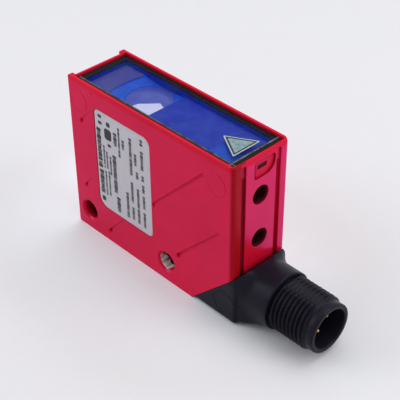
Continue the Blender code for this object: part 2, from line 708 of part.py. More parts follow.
def make_sleeve():
    """The threaded plug sleeve. The thread's outside is a plain cylinder of its major diameter."""
    tail = SLEEVE_SEAT_X + GAP
    profile = [
        (SOCKET_RADIUS, PLUG_END), (COLLAR_RADIUS - 0.3, PLUG_END), (COLLAR_RADIUS, PLUG_END - 0.3),
        (COLLAR_RADIUS, THREAD_END), (PLUG_RADIUS, THREAD_END - 0.6),
        (PLUG_RADIUS, BARREL_END + GAP), (SLEEVE_TAIL_RADIUS, BARREL_END + GAP),
        (SLEEVE_TAIL_RADIUS, tail), (SOCKET_RADIUS, tail),
    ]
    sleeve = turned("threaded_sleeve", (0, 0, PLUG_Z), (1, 0, 0), profile, closed=True, facets=FINE)
    return [paint(sleeve, "black_plastic")]


def pin_places():
    for i in range(4):
        angle = math.tau * i / 4
        yield i + 1, PIN_CIRCLE * math.cos(angle), PLUG_Z + PIN_CIRCLE * math.sin(angle)


def make_contacts():
    pieces = []
    length = SOCKET_FLOOR - INSERT_BACK
    insert = rod("contact_insert", (INSERT_BACK, 0, PLUG_Z), (1, 0, 0), length, SOCKET_RADIUS - 0.2)
    start = INSERT_BACK - 0.8
    tip = PIN_TIP - start
    profile = [(0.0, tip), (PIN_RADIUS * 0.5, tip), (PIN_RADIUS, tip - 0.5), (PIN_RADIUS, 0.0), (0.0, 0.0)]
    bore = PIN_RADIUS + GAP / 2
    for number, y, z in pin_places():
        hole = rod(f"cut_pin_{number}", (INSERT_BACK - CLEAR, y, z), (1, 0, 0), 8.0, bore, facets=COARSE)
        cut(insert, hole)
        pin = turned(f"contact_pin_{number}", (start, y, z), (1, 0, 0), profile, facets=16)
        pieces += [paint(pin, "gold"), hole]
    return [*pieces, paint(insert, "black_plastic")]


def make_swivel_hardware():
    hole = RING_NECK + GAP / 2
    section = [(RING_RADIUS, RING_AT[1]), (RING_RADIUS, RING_AT[0]), (hole, RING_AT[0]), (hole, RING_AT[1])]
    ring = turned("retaining_ring", swivel_point(0.0), SWIVEL_IN, section, closed=True, facets=FINE)
    middle = (SEAL_AT[0] + SEAL_AT[1]) / 2
    section = []
    points = 10
    for step in range(points):
        angle = -math.tau * step / points
        across, up = SEAL_SECTION * math.cos(angle), SEAL_SECTION * math.sin(angle)
        section.append((SEAL_CIRCLE + across, middle + up))
    seal = turned("swivel_seal", swivel_point(0.0), SWIVEL_IN, section, closed=True, facets=PLAIN)
    return [paint(ring, "steel"), paint(seal, "seal_rubber")]


def smooth_route(points, pieces=6):
    """A smooth curve through the points, read at even steps between them."""
    padded = [points[0] * 2 - points[1], *points, points[-1] * 2 - points[-2]]
    route = []
    for i in range(1, len(padded) - 2):
        before, start, end, after = padded[i - 1:i + 3]
        for step in range(pieces):
            t = step / pieces
            route.append(
                0.5 * (
                    2 * start
                    + (end - before) * t
                    + (2 * before - 5 * start + 4 * end - after) * t ** 2
                    + (3 * start - before - 3 * end + after) * t ** 3
                )
            )
    return [*route, padded[-2]]


def make_wires():
    """The plug's wires as one round bundle, along the plug's axis and out through the stub."""
    bend = ((4.3, 0.0), (2.0, 0.0), (0.0, -0.2), (-2.0, -1.1))
    along_plug = [Vector((RIGHT + x, 0, PLUG_Z + z)) for x, z in bend]
    through_stub = [swivel_point(depth) for depth in (-1.6, 0.0, 1.5, 4.5, 7.5, 9.3)]
    curve = bpy.data.curves.new("wire_bundle", "CURVE")
    curve.dimensions = "3D"
    curve.bevel_depth = WIRES_RADIUS * MM
    curve.bevel_resolution = 2
    curve.use_fill_caps = True
    route = smooth_route([*along_plug, *through_stub], 3)
    spline = curve.splines.new("POLY")
    spline.points.add(len(route) - 1)
    for point, place in zip(spline.points, route):
        point.co = (*(place * MM), 1.0)
    wires = add_object("wire_bundle", curve)
    return [paint(wires, "cable_grey")]


def make_connector():
    """Everything that turns, under an empty whose Z is the swivel axis."""
    pieces = [*make_elbow(), *make_sleeve(), *make_contacts(), *make_swivel_hardware(), *make_wires()]
    axis = bpy.data.objects.new("swivel_axis", None)
    axis.matrix_world = along(FACE_CENTRE, -SWIVEL_IN)
    PARTS.objects.link(axis)
    back = along(FACE_CENTRE, -SWIVEL_IN).inverted()
    booleans = [m for piece in pieces for m in piece.modifiers if m.type == "BOOLEAN"]
    tools = [modifier.object for modifier in booleans]
    for piece in dict.fromkeys([*pieces, *tools]):
        piece.parent = axis
        piece.matrix_parent_inverse = back


make_housing()
make_end_cover()
make_indicators()
make_rating_label()
make_window()
make_lens()
make_lens_holder()
make_baffles()
make_carrier()
make_emitter()
make_receiver()
make_board()
make_components()
make_connector()
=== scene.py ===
import math

import bmesh
import bpy
from mathutils import Matrix, Vector


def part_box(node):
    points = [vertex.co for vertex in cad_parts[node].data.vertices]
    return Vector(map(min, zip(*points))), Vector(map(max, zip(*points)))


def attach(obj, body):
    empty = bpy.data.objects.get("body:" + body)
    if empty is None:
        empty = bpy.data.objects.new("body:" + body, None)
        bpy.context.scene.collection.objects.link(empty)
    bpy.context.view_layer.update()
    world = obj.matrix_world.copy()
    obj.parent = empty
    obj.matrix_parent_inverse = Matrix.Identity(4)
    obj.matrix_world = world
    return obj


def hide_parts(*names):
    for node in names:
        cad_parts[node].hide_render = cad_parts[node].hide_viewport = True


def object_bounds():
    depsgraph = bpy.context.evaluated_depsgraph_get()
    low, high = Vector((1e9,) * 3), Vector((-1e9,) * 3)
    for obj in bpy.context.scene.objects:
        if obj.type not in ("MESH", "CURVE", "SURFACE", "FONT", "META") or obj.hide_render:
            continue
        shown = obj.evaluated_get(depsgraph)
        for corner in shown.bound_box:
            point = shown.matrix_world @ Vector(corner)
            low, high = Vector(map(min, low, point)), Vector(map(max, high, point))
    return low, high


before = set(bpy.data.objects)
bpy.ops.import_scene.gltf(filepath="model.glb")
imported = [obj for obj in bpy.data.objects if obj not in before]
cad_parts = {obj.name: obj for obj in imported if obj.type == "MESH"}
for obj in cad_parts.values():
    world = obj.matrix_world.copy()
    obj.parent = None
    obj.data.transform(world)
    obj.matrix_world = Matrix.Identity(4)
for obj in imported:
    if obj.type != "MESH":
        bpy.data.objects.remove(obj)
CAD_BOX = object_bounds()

MM = 0.001
BODY = "sensor_body"
PLUG = "plug_connector"


def limits(node):
    """A CAD node's box in millimetres: ((x0, x1), (y0, y1), (z0, z1))."""
    low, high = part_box(node)
    return tuple((low[i] / MM, high[i] / MM) for i in range(3))


(LEFT, RIGHT), (_, SIDE), (_, HEIGHT) = limits("housing")
PLUG_END = limits("threaded_sleeve")[0][1]
CUT = 11.5
PLATE = 1.1
END_SET_BACK = 1.1
END_SHOULDER = 2.4
WALL = 1.5
FLOOR = 8.5
CAVITY_RIGHT = RIGHT - 6.5
RIM = 0.6
REBATE_FLOOR = HEIGHT - 3.1
FIX_Z = 4.8
FIX_X = (LEFT + 3.9, LEFT + 28.9)
TAPPED_Z = (18.2, 28.6)
LABEL_X = (LEFT + 7.76, LEFT + 24.84)
LABEL_Z = (8.66, 33.34)
LABEL_RADII = (2.6, 1.3, 2.0, 1.2)
LENS_X = LEFT + 16.2
LENS_Y = 0.6
BOARD_SCREWS = ((LEFT + 8.4, 11.6), (LEFT + 26.6, 17.0))
INDICATOR_Y = 2.3
INDICATOR_Z = {"green": 18.0, "yellow": 14.4}
FACE_CENTRE = Vector((RIGHT - CUT / 2, 0.0, CUT / 2))
SWIVEL_IN = Vector((-1.0, 0.0, 1.0)).normalized()
PLUG_Z = 6.7
BARREL_RADIUS = 6.35
BARREL_END = RIGHT + 8.0
THREAD = (RIGHT + 8.12, RIGHT + 17.3)
BORE_END = 7.0
TAPPED_EDGE, FIX_EDGE = (2.10, 2.14), (2.12, 2.2)
GROOVE_Y, GROOVE_HALF = 4.7, 0.6
CATCH_Y, CATCH_Z = (-1.9, 3.8), (32.7, 36.7)
SLOT_Y, SLOT_Z = (-0.7, 1.8), (34.45, 35.45)
BROW, BROW_DROP = 0.40, 0.90
FIX_LIP = ((2.95, -0.25), (2.72, 0.0), (2.60, 0.06), (2.50, 0.18), (2.16, 0.50), (2.10, 0.62))
OPEN_X, OPEN_Y = (LEFT + 3.5, RIGHT - 2.6), (-5.5, 5.5)
BAFFLE_HALF = 5.38
BAFFLE_TOP = 1.6
PIN_CIRCLE = 2.5
FLOOR_SIZE = 4.0


# ---- Mesh helpers
def new_object(name, bm):
    bmesh.ops.recalc_face_normals(bm, faces=bm.faces)
    mesh = bpy.data.meshes.new(name)
    bm.to_mesh(mesh)
    bm.free()
    obj = bpy.data.objects.new(name, mesh)
    bpy.context.scene.collection.objects.link(obj)
    return obj


def bake(obj):
    """Turns an object's modifiers into its mesh."""
    bpy.context.view_layer.update()
    depsgraph = bpy.context.evaluated_depsgraph_get()
    mesh = bpy.data.meshes.new_from_object(obj.evaluated_get(depsgraph))
    obj.modifiers.clear()
    obj.data = mesh
    return obj


def tidy(obj, distance=0.0006):
    bm = bmesh.new()
    bm.from_mesh(obj.data)
    bmesh.ops.remove_doubles(bm, verts=bm.verts, dist=distance * MM)
    bmesh.ops.dissolve_degenerate(bm, edges=bm.edges, dist=distance * MM)
    bmesh.ops.recalc_face_normals(bm, faces=bm.faces)
    bm.to_mesh(obj.data)
    bm.free()
    return obj


def carve(target, tools, operation="DIFFERENCE"):
    for tool in tools:
        modifier = target.modifiers.new(tool.name, "BOOLEAN")
        modifier.object = tool
        modifier.operation = operation
        modifier.solver = "EXACT"
    bake(target)
    for tool in tools:
        bpy.data.objects.remove(tool, do_unlink=True)
    return tidy(target)


def soften(obj, width, segments=2, angle=30.0):
    bevel = obj.modifiers.new("soften", "BEVEL")
    bevel.width = width * MM
    bevel.segments = segments
    bevel.limit_method = "ANGLE"
    bevel.angle_limit = math.radians(angle)
    bevel.use_clamp_overlap = True
    return bake(obj)


def shade(obj, angle=38.0):
    """Smooth shading with crisp edges, and flat faces kept flat beside their rounded edges."""
    obj.data.shade_smooth()
    obj.data.set_sharp_from_angle(angle=math.radians(angle))
    weighted = obj.modifiers.new("weighted", "WEIGHTED_NORMAL")
    weighted.keep_sharp = True
    return bake(obj)


def along(start, direction):
    """The placing that puts a shape's own Z along a direction, from a start point."""
    turn = Vector(direction).to_track_quat("Z", "Y").to_matrix().to_4x4()
    return Matrix.Translation(Vector(start) * MM) @ turn


def bridge(bm, low, high):
    """The faces between two rings of equal counts."""
    for i in range(len(low)):
        j = (i + 1) % len(low)
        bm.faces.new((low[i], low[j], high[j], high[i]))


def loft(name, loops):
    """A closed solid through loops of equal point counts, capped at both ends."""
    bm = bmesh.new()
    rings = [[bm.verts.new(Vector(p) * MM) for p in loop] for loop in loops]
    for low, high in zip(rings, rings[1:]):
        bridge(bm, low, high)
    bm.faces.new(rings[0])
    bm.faces.new(rings[-1])
    return new_object(name, bm)


def box(name, x, y, z):
    loops = [[(x[0], y[0], h), (x[1], y[0], h), (x[1], y[1], h), (x[0], y[1], h)] for h in z]
    return loft(name, loops)


def turned(name, start, direction, profile, facets=48, closed=False):
    """A turned shape from (radius, height) points. Ends with a radius are capped flat."""
    bm = bmesh.new()
    rings = []
    for radius, height in profile:
        if radius < 1e-6:
            rings.append([bm.verts.new((0.0, 0.0, height * MM))])
            continue
        ring = []
        for i in range(facets):
            a = math.tau * i / facets
            ring.append(bm.verts.new((radius * MM * math.cos(a), radius * MM * math.sin(a), height * MM)))
        rings.append(ring)
    pairs = list(zip(rings, rings[1:]))
    if closed:
        pairs.append((rings[-1], rings[0]))
    for low, high in pairs:
        for i in range(facets):
            j = (i + 1) % facets
            corners = [low[i % len(low)], low[j % len(low)], high[j % len(high)], high[i % len(high)]]
            bm.faces.new(list(dict.fromkeys(corners)))
    if not closed:
        for ring in (rings[0], rings[-1]):
            if len(ring) > 1:
                bm.faces.new(ring)
    bm.transform(along(start, direction))
    return new_object(name, bm)


def rod(name, start, direction, radius, length, facets):
    return turned(name, start, direction, [(radius, 0.0), (radius, length)], facets)


def rounded(corners, radii, steps=6):
    """A closed outline whose corners, in order, are rounded to their own radii."""
    points = []
    count = len(corners)
    for i, (corner, radius) in enumerate(zip(corners, radii)):
        here = Vector(corner)
        back = (Vector(corners[i - 1]) - here).normalized()
        ahead = (Vector(corners[(i + 1) % count]) - here).normalized()
        if radius <= 0:
            points.append(here)
            continue
        half = back.angle(ahead) / 2
        centre = here + (back + ahead).normalized() * radius / math.sin(half)
        first = here + back * radius / math.tan(half) - centre
        last = here + ahead * radius / math.tan(half) - centre
        sweep = first.angle_signed(last)
        for step in range(steps + 1):
            points.append(centre + Matrix.Rotation(-sweep * step / steps, 2) @ first)
    return points


def rectangle(u, v, grow=0.0):
    low_u, high_u, low_v, high_v = u[0] - grow, u[1] + grow, v[0] - grow, v[1] + grow
    return [(low_u, low_v), (high_u, low_v), (high_u, high_v), (low_u, high_v)]


# Points of a 2D outline, at a depth behind one of the housing's faces
def label_side(u, v, depth):
    return (u, depth - SIDE, v)


def far_side(u, v, depth):
    return (u, SIDE - depth, v)


def plug_end(u, v, depth):
    return (RIGHT - depth, u, v)


def window_side(u, v, depth):
    return (u, v, HEIGHT - depth)


def pocket(name, place, u, v, radii, levels, steps=6):
    """A rounded rectangle's solid through (grow, depth) levels, to cut a drafted recess."""
    loops = []
    for grow, depth in levels:
        grown = [max(radius + grow, 0.03) if radius > 0 else 0.0 for radius in radii]
        outline = rounded(rectangle(u, v, grow), grown, steps)
        loops.append([place(a, b, depth) for a, b in outline])
    return loft(name, loops)


def slab(name, place, outline, depths):
    return loft(name, [[place(u, v, depth) for u, v in outline] for depth in depths])


# ---- Materials
class Nodes:
    """A Principled material with short ways to add noise, ramps and bump."""

    def __init__(self, name):
        self.material = bpy.data.materials.new(name)
        self.material.use_nodes = True
        self.tree = self.material.node_tree
        self.shader = self.tree.nodes["Principled BSDF"]
        self.place = self.add("ShaderNodeTexCoord").outputs["Object"]
        self.height = None

    def add(self, kind, sockets=(), **settings):
        """A new node, with each named socket linked to an output or set to a value."""
        node = self.tree.nodes.new(kind)
        for key, value in settings.items():
            setattr(node, key, value)
        for key, value in dict(sockets).items():
            self.feed(value, node.inputs[key])
        return node

    def feed(self, value, socket):
        if isinstance(value, bpy.types.NodeSocket):
            self.tree.links.new(value, socket)
        elif isinstance(value, tuple) and socket.type == "RGBA":
            socket.default_value = (*value, 1.0)
        else:
            socket.default_value = value

    def stretched(self, scale):
        """The place, scaled by its own factor on each axis."""
        return self.add("ShaderNodeMapping", {"Scale": scale, "Vector": self.place}).outputs["Vector"]

    def noise(self, size, detail=4.0, roughness=0.55, distortion=0.0, vector=None):
        """Noise whose main features are about so many millimetres wide."""
        return self.add("ShaderNodeTexNoise", {
            "Scale": 1.0 / (size * MM), "Detail": detail, "Roughness": roughness,
            "Distortion": distortion, "Vector": vector or self.place,
        }).outputs["Fac"]

    def cells(self, size):
        sockets = {"Scale": 1.0 / (size * MM), "Vector": self.place}
        return self.add("ShaderNodeTexVoronoi", sockets).outputs["Distance"]

    def remap(self, value, source, target=(0.0, 1.0)):
        return self.add("ShaderNodeMapRange", {
            "Value": value, "From Min": source[0], "From Max": source[1],
            "To Min": target[0], "To Max": target[1],
        }).outputs["Result"]

    def maths(self, operation, first, second):
        return self.add("ShaderNodeMath", {0: first, 1: second}, operation=operation).outputs["Value"]

    def fold(self, operation, values):
        """Maths over any number of values, from first to last."""
        result = values[0]
        for value in values[1:]:
            result = self.maths(operation, result, value)
        return result

    def times(self, *values):
        return self.fold("MULTIPLY", values)

    def most(self, *values):
        return self.fold("MAXIMUM", values)

    def plus(self, *values):
        return self.fold("ADD", values)

    def minus(self, first, second):
        return self.maths("SUBTRACT", first, second)

    def size(self, value):
        return self.maths("ABSOLUTE", value, 0.0)

    def length(self, first, second):
        return self.maths("SQRT", self.plus(self.times(first, first), self.times(second, second)), 0.0)

    def axes(self, vector=None):
        across = self.add("ShaderNodeSeparateXYZ", {"Vector": vector or self.place})
        return [across.outputs[axis] for axis in "XYZ"]

    def span(self, value, low, high, target=(0.0, 1.0)):
        """A value in metres, remapped between two places in millimetres."""
        return self.remap(value, (low * MM, high * MM), target)

    def band(self, value, low, high, soft=0.05):
        """1 where a value in metres lies between two limits in millimetres, else 0."""
        rise = self.span(value, low - soft, low + soft)
        return self.times(rise, self.span(value, high - soft, high + soft, (1.0, 0.0)))

    def surface(self, share, under, over):
        """Mixes two shaders into the material's surface."""
        sockets = {0: share, 1: under.outputs["BSDF"], 2: over.outputs["BSDF"]}
        mix = self.add("ShaderNodeMixShader", sockets)
        self.feed(mix.outputs["Shader"], self.tree.nodes["Material Output"].inputs["Surface"])

    def blend(self, factor, first, second):
        """Mixes two colours, each a colour value or another node's output."""
        sockets = {0: factor, 6: first, 7: second}
        return self.add("ShaderNodeMix", sockets, data_type="RGBA").outputs[2]

    def set(self, **values):
        """Constant values, straight on the shader's own sockets."""
        for key, value in values.items():
            self.feed(value, self.shader.inputs[key.replace("_", " ")])

    def colour(self, output):
        self.feed(output, self.shader.inputs["Base Color"])

    def roughness(self, rough, size, detail=4.0, grit=0.55):
        """Roughness that wanders between two values over patches of a size."""
        patches = self.remap(self.noise(size, detail, grit), (0.3, 0.7), rough)
        self.feed(patches, self.shader.inputs["Roughness"])

    def bump(self, height, strength, depth):
        """Adds a bump layer. The depth is in millimetres."""
        sockets = {"Strength": strength, "Distance": depth * MM, "Height": height}
        if self.height:
            sockets["Normal"] = self.height
        self.height = self.add("ShaderNodeBump", sockets).outputs["Normal"]
        self.feed(self.height, self.shader.inputs["Normal"])


def moulded(name, dark, light, rough, grain, depth, specular=0.5, metallic=0.0, blotch=6.0):
    """Plastic, rubber or metal with mottled colour, uneven gloss and a fine surface grain."""
    n = Nodes(name)
    n.colour(n.blend(n.remap(n.noise(blotch), (0.35, 0.65)), dark, light))
    n.roughness(rough, blotch * 0.35, 5.0)
    n.set(Specular_IOR_Level=specular, Metallic=metallic)
    n.bump(n.noise(grain, 3.0), 0.6, depth)
    return n


def red_paint():
    """Red powder coat: a pure red body under a magenta-tinted gloss that mirrors the pale floor."""
    n = Nodes("red_paint")
    mottled = n.remap(n.noise(14.0, 3.0), (0.35, 0.65))
    base = n.blend(mottled, (0.54, 0.0032, 0.018), (0.60, 0.0042, 0.023))
    speck = n.remap(n.cells(0.75), (0.035, 0.06), (1.0, 0.0))
    rare = n.remap(n.noise(2.6, 1.0), (0.60, 0.64), (0.0, 0.6))
    base = n.blend(n.times(speck, rare), base, (0.22, 0.004, 0.02))
    x, y, z = n.axes()
    near_corner = near_corner_shade(n, x, y)
    base = n.blend(near_corner, base, (0.33, 0.0025, 0.008))
    # painted shade in the end face's recesses and the fixing holes' bores, which also dulls the gloss there
    shade_in_recesses = n.most(end_face_painted_shade(n, x, y, z), bore_painted_shade(n, x, y, z))
    base = n.blend(shade_in_recesses, base, (0.050, 0.0030, 0.007))
    # a pale grey streak just inside one fixing hole's near mouth, which also dulls the gloss there
    pale_streak = hole_pale_streak(n, x, y, z)
    streaky = n.remap(n.noise(0.7, 4.0, 0.6, 0.3, n.stretched((1.0, 0.3, 1.0))), (0.38, 0.56))
    n.colour(n.blend(pale_streak, base, n.blend(streaky, (0.10, 0.09, 0.09), (0.88, 0.86, 0.85))))
    n.roughness((0.36, 0.50), 4.0, 6.0, 0.6)
    n.set(Specular_IOR_Level=0.05)
    n.bump(n.noise(0.55, 2.0), 0.35, 0.018)
    scratches = n.noise(0.30, 2.0, 0.5, 0.4, n.stretched((1.0, 1.0, 0.07)))
    n.bump(n.remap(scratches, (0.66, 0.72)), 0.10, 0.01)
    uneven = n.remap(n.noise(3.0, 4.0), (0.3, 0.7), (0.16, 0.24))
    magenta = (1.0, 0.20, 0.90)
    gloss = n.add("ShaderNodeBsdfGlossy", {"Color": magenta, "Roughness": uneven, "Normal": n.height})
    fresnel = n.add("ShaderNodeFresnel", {"IOR": 1.8})
    dull = n.minus(1.0, n.most(pale_streak, n.times(shade_in_recesses, 0.95)))
    behind = n.minus(RIGHT * MM, x)
    in_catch = n.band(y, CATCH_Y[0] - 0.05, CATCH_Y[1] + 0.1)
    upright = n.band(z, CATCH_Z[0] - 0.1, CATCH_Z[1] + 0.2)
    catch_floor = n.times(n.band(behind, 0.38, 0.49, 0.03), in_catch, upright)
    brow = n.span(z, HEIGHT - 1.35, HEIGHT - 0.95, (0.0, 0.72))
    less = n.minus(1.0, n.most(n.times(catch_floor, 0.55), brow))
    # painted sheen: the reflection is made stronger on the end faces and weaker on the near corner
    share = n.times(fresnel.outputs["Fac"], dull, painted_facing_sheen(n, near_corner, less))
    n.surface(share, n.shader, gloss)
    return n


def painted_facing_sheen(n, near_corner, less):
    """How strongly the paint reflects, set by which way a face points, a painted sheen: full on the end
    faces, half on the other faces, least on the near corner.
    """
    endward = n.size(n.axes(n.add("ShaderNodeTexCoord").outputs["Normal"])[0])
    gloss = n.most(n.remap(endward, (0.80, 0.97)), n.remap(endward, (0.1, 0.5), (0.42, 0.20)))
    return n.times(gloss, n.remap(near_corner, (0.0, 1.0), (1.0, 0.12)), less)


def off_axis(n, first, second, place):
    """How far a point is, in metres, from an axis at a place in millimetres."""
    return n.length(n.minus(first, place[0] * MM), n.minus(second, place[1] * MM))


def bore_painted_shade(n, x, y, z):
    """Painted shade: 1 inside the fixing holes' bores, away from both side faces."""
    bores = [n.span(off_axis(n, x, z, (place, FIX_Z)), *FIX_EDGE, (1.0, 0.0)) for place in FIX_X]
    wander = n.remap(n.noise(1.5, 3.0), (0.3, 0.7), (-0.7 * MM, 0.7 * MM))
    off_middle = n.plus(n.size(y), wander)
    return n.times(n.times(n.most(*bores), 0.85), n.span(off_middle, 5.6, 6.9, (1.0, 0.0)))


def end_face_painted_shade(n, x, y, z):
    """Painted shade: how dark the paint is made in the end face's grooves, catch, slot and tapped holes,
    where shade falls.
    """
    behind = n.minus(RIGHT * MM, x)
    off_middle = n.size(y)
    slot = n.times(n.band(behind, 0.50, BORE_END), n.band(off_middle, -1.0, 3.9))
    far_lighter = n.span(y, -1.0, 1.0, (0.58, 0.20))
    beside = n.band(off_middle, GROOVE_Y - 0.7, GROOVE_Y + 0.8)
    groove = n.times(n.band(behind, 0.20, BORE_END), beside, far_lighter)
    holes = [n.span(n.length(y, n.minus(z, place * MM)), *TAPPED_EDGE, (1.0, 0.0)) for place in TAPPED_Z]
    hole = n.times(n.most(*holes), n.band(behind, 0.13, BORE_END, 0.02))
    across = n.band(y, CATCH_Y[0] - 0.05, CATCH_Y[1] + 0.18)
    in_catch = n.times(across, n.band(z, CATCH_Z[0] - 0.2, CATCH_Z[1] + 0.2))
    catch_wall = n.times(n.times(n.band(behind, 0.08, 0.42, 0.04), in_catch), 0.60)
    corner = n.most(n.band(y, -1.9, -1.05, 0.08), n.times(n.band(z, 35.95, 36.8), 0.5))
    catch_line = n.times(n.times(n.band(behind, 0.41, 0.49, 0.02), in_catch, corner), 0.62)
    return n.most(n.most(slot, n.most(groove, hole)), n.most(catch_wall, catch_line))


def near_corner_shade(n, x, y):
    """1 on the strip between the near rounded corner and the near groove, fading to 0 on the label side."""
    return n.times(n.span(y, -5.45, -5.30, (1.0, 0.0)), n.span(x, RIGHT - 1.0, RIGHT - 0.35))


def hole_pale_streak(n, x, y, z):
    """1 in a pale streak just inside one fixing hole's near mouth."""
    dx = n.minus(x, FIX_X[1] * MM)
    dz = n.minus(z, FIX_Z * MM)
    inside = n.span(n.length(dx, dz), 2.16, 2.24, (1.0, 0.0))
    stretched = n.noise(0.8, 4.0, 0.6, 0.0, n.stretched((1.0, 0.35, 1.0)))
    ragged = n.remap(stretched, (0.3, 0.7), (-0.5 * MM, 0.5 * MM))
    low_side = n.plus(n.times(n.plus(dx, dz), -0.707), ragged)
    return n.times(inside, n.band(low_side, 1.0, 9.0, 0.06), n.band(n.plus(y, ragged), -7.4, -5.3, 0.1))


def black_plastic():
    n = moulded("black_plastic", (0.0080, 0.0074, 0.0130), (0.0110, 0.0104, 0.0172), (0.26, 0.40),
                0.28, 0.014, 0.10)
    n.set(Specular_Tint=(0.92, 0.88, 1.0))
    streak = n.noise(0.5, 3.0, 0.5, 0.0, n.stretched((0.12, 1.0, 1.0)))
    n.bump(n.remap(streak, (0.60, 0.70)), 0.08, 0.01)
    return n


def frame_plastic():
    """The window frame's plastic, with a painted grey highlight along the edges of its opening."""
    n = Nodes("frame_plastic")
    mottled = n.remap(n.noise(0.45, 4.0), (0.4, 0.7))
    base = n.blend(mottled, (0.0030, 0.0032, 0.0052), (0.0095, 0.010, 0.016))
    x, y, z = n.axes()
    side = n.band(y, -5.98, -5.70, 0.04)
    end = n.band(x, RIGHT - 2.38, RIGHT - 2.02, 0.05)
    top = n.band(z, HEIGHT - 0.62, HEIGHT, 0.02)
    # painted highlight: grey along the opening's near and end edges, broken up by noise
    highlight_breakup = n.remap(n.noise(1.6, 5.0), (0.36, 0.56), (0.2, 1.0))
    painted_highlight = n.times(n.most(n.times(side, 0.7), end), top, highlight_breakup)
    n.colour(n.blend(painted_highlight, base, (0.19, 0.17, 0.16)))
    n.roughness((0.40, 0.60), 1.0, 5.0)
    n.set(Specular_IOR_Level=0.08)
    n.bump(n.noise(0.30, 3.0), 0.8, 0.05)
    return n


def window_blue():
    """Coated glass: it lets most light through and mirrors its surroundings in blue."""
    n = Nodes("blue_glass")
    n.tree.nodes.remove(n.shader)
    clear = n.add("ShaderNodeBsdfTransparent", {"Color": (0.86, 0.88, 0.92)})
    tint = n.blend(n.remap(n.noise(7.0, 2.0), (0.35, 0.65)), (0.025, 0.07, 0.85), (0.06, 0.12, 0.80))
    smears = n.add("ShaderNodeBump", {
        "Strength": 0.05, "Distance": 0.02 * MM, "Height": n.noise(3.0, 3.0, 0.5, 0.8),
    }).outputs["Normal"]
    mirror = n.add("ShaderNodeBsdfGlossy", {"Roughness": 0.06, "Color": tint, "Normal": smears})
    facing = n.add("ShaderNodeLayerWeight").outputs["Facing"]
    n.surface(n.remap(n.maths("POWER", facing, 3.0), (0.0, 1.0), (0.13, 0.75)), clear, mirror)
    return n


def lens_glass():
    n = moulded("clear_glass", (0.16, 0.17, 0.34), (0.24, 0.25, 0.42), (0.05, 0.11), 1.2, 0.004, 0.8,
                0.0, 2.5)
    n.set(Coat_Weight=0.6, Coat_Roughness=0.04)
    return n


def silver_label():
    n = Nodes("silver_label")
    fibre = n.noise(0.35, 3.0, 0.6, 0.0, n.stretched((1.0, 1.0, 0.10)))
    n.colour(n.blend(fibre, (0.42, 0.405, 0.445), (0.55, 0.535, 0.575)))
    n.roughness((0.38, 0.55), 5.0, 5.0)
    n.set(Specular_IOR_Level=0.4, Metallic=0.15)
    n.bump(fibre, 0.15, 0.01)
    return n


def glowing_highlight_patch():
    """A white patch that glows, a painted highlight for the bright reflection seen in the lens."""
    n = moulded("glowing_white_highlight", (0.88, 0.88, 0.86), (0.95, 0.95, 0.93), (0.2, 0.35), 0.6, 0.006, 0.5)
    n.set(Emission_Color=(1.0, 0.86, 0.52), Emission_Strength=0.55)
    return n


def baffle_blue():
    """The right baffle: cloudy blue, with a brighter patch near the connector end."""
    n = Nodes("blue_plastic")
    cloudy = n.remap(n.noise(3.4, 4.0, 0.6, 0.6), (0.36, 0.64))
    base = n.blend(cloudy, (0.024, 0.036, 0.27), (0.060, 0.085, 0.38))
    x, y, _ = n.axes()
    slant = n.plus(x, n.times(y, -0.15))
    bright = n.times(n.span(slant, 14.8, 15.9), n.span(y, -1.6, -0.6, (1.0, 0.0)))
    base = n.blend(n.times(bright, 0.85), base, (0.055, 0.19, 0.62))
    smear = n.remap(n.noise(1.1, 5.0, 0.6, 1.5, n.stretched((1.0, 0.5, 1.0))), (0.62, 0.70), (0.0, 0.55))
    streaks = n.times(smear, n.band(x, 3.0, 13.0, 1.5), n.band(y, -3.0, 2.5, 0.8))
    n.colour(n.blend(streaks, base, (0.09, 0.26, 0.50)))
    n.roughness((0.35, 0.5), 1.5, 4.0)
    n.set(Specular_IOR_Level=0.4)
    n.bump(n.noise(0.5, 3.0), 0.6, 0.015)
    return n


def circuit_board():
    n = Nodes("green_board")
    sockets = {"Rotation": (math.radians(90.0), 0.0, 0.0), "Vector": n.place}
    tracks = n.add("ShaderNodeTexBrick", {
        "Scale": 700.0, "Mortar Size": 0.012, "Color1": (0.010, 0.105, 0.045),
        "Color2": (0.014, 0.135, 0.055), "Mortar": (0.06, 0.24, 0.09),
        "Vector": n.add("ShaderNodeMapping", sockets).outputs["Vector"],
    })
    n.colour(tracks.outputs["Color"])
    n.roughness((0.28, 0.45), 2.0)
    n.bump(tracks.outputs["Fac"], 0.3, 0.03)
    return n


def cable_wires():
    n = moulded("cable_grey", (0.07, 0.07, 0.08), (0.13, 0.13, 0.14), (0.5, 0.7), 0.3, 0.02, 0.3, 0.0, 1.5)
    strands = n.add("ShaderNodeTexWave", {"Scale": 350.0, "Distortion": 1.0, "Vector": n.place})
    n.bump(strands.outputs["Fac"], 0.4, 0.1)
    return n


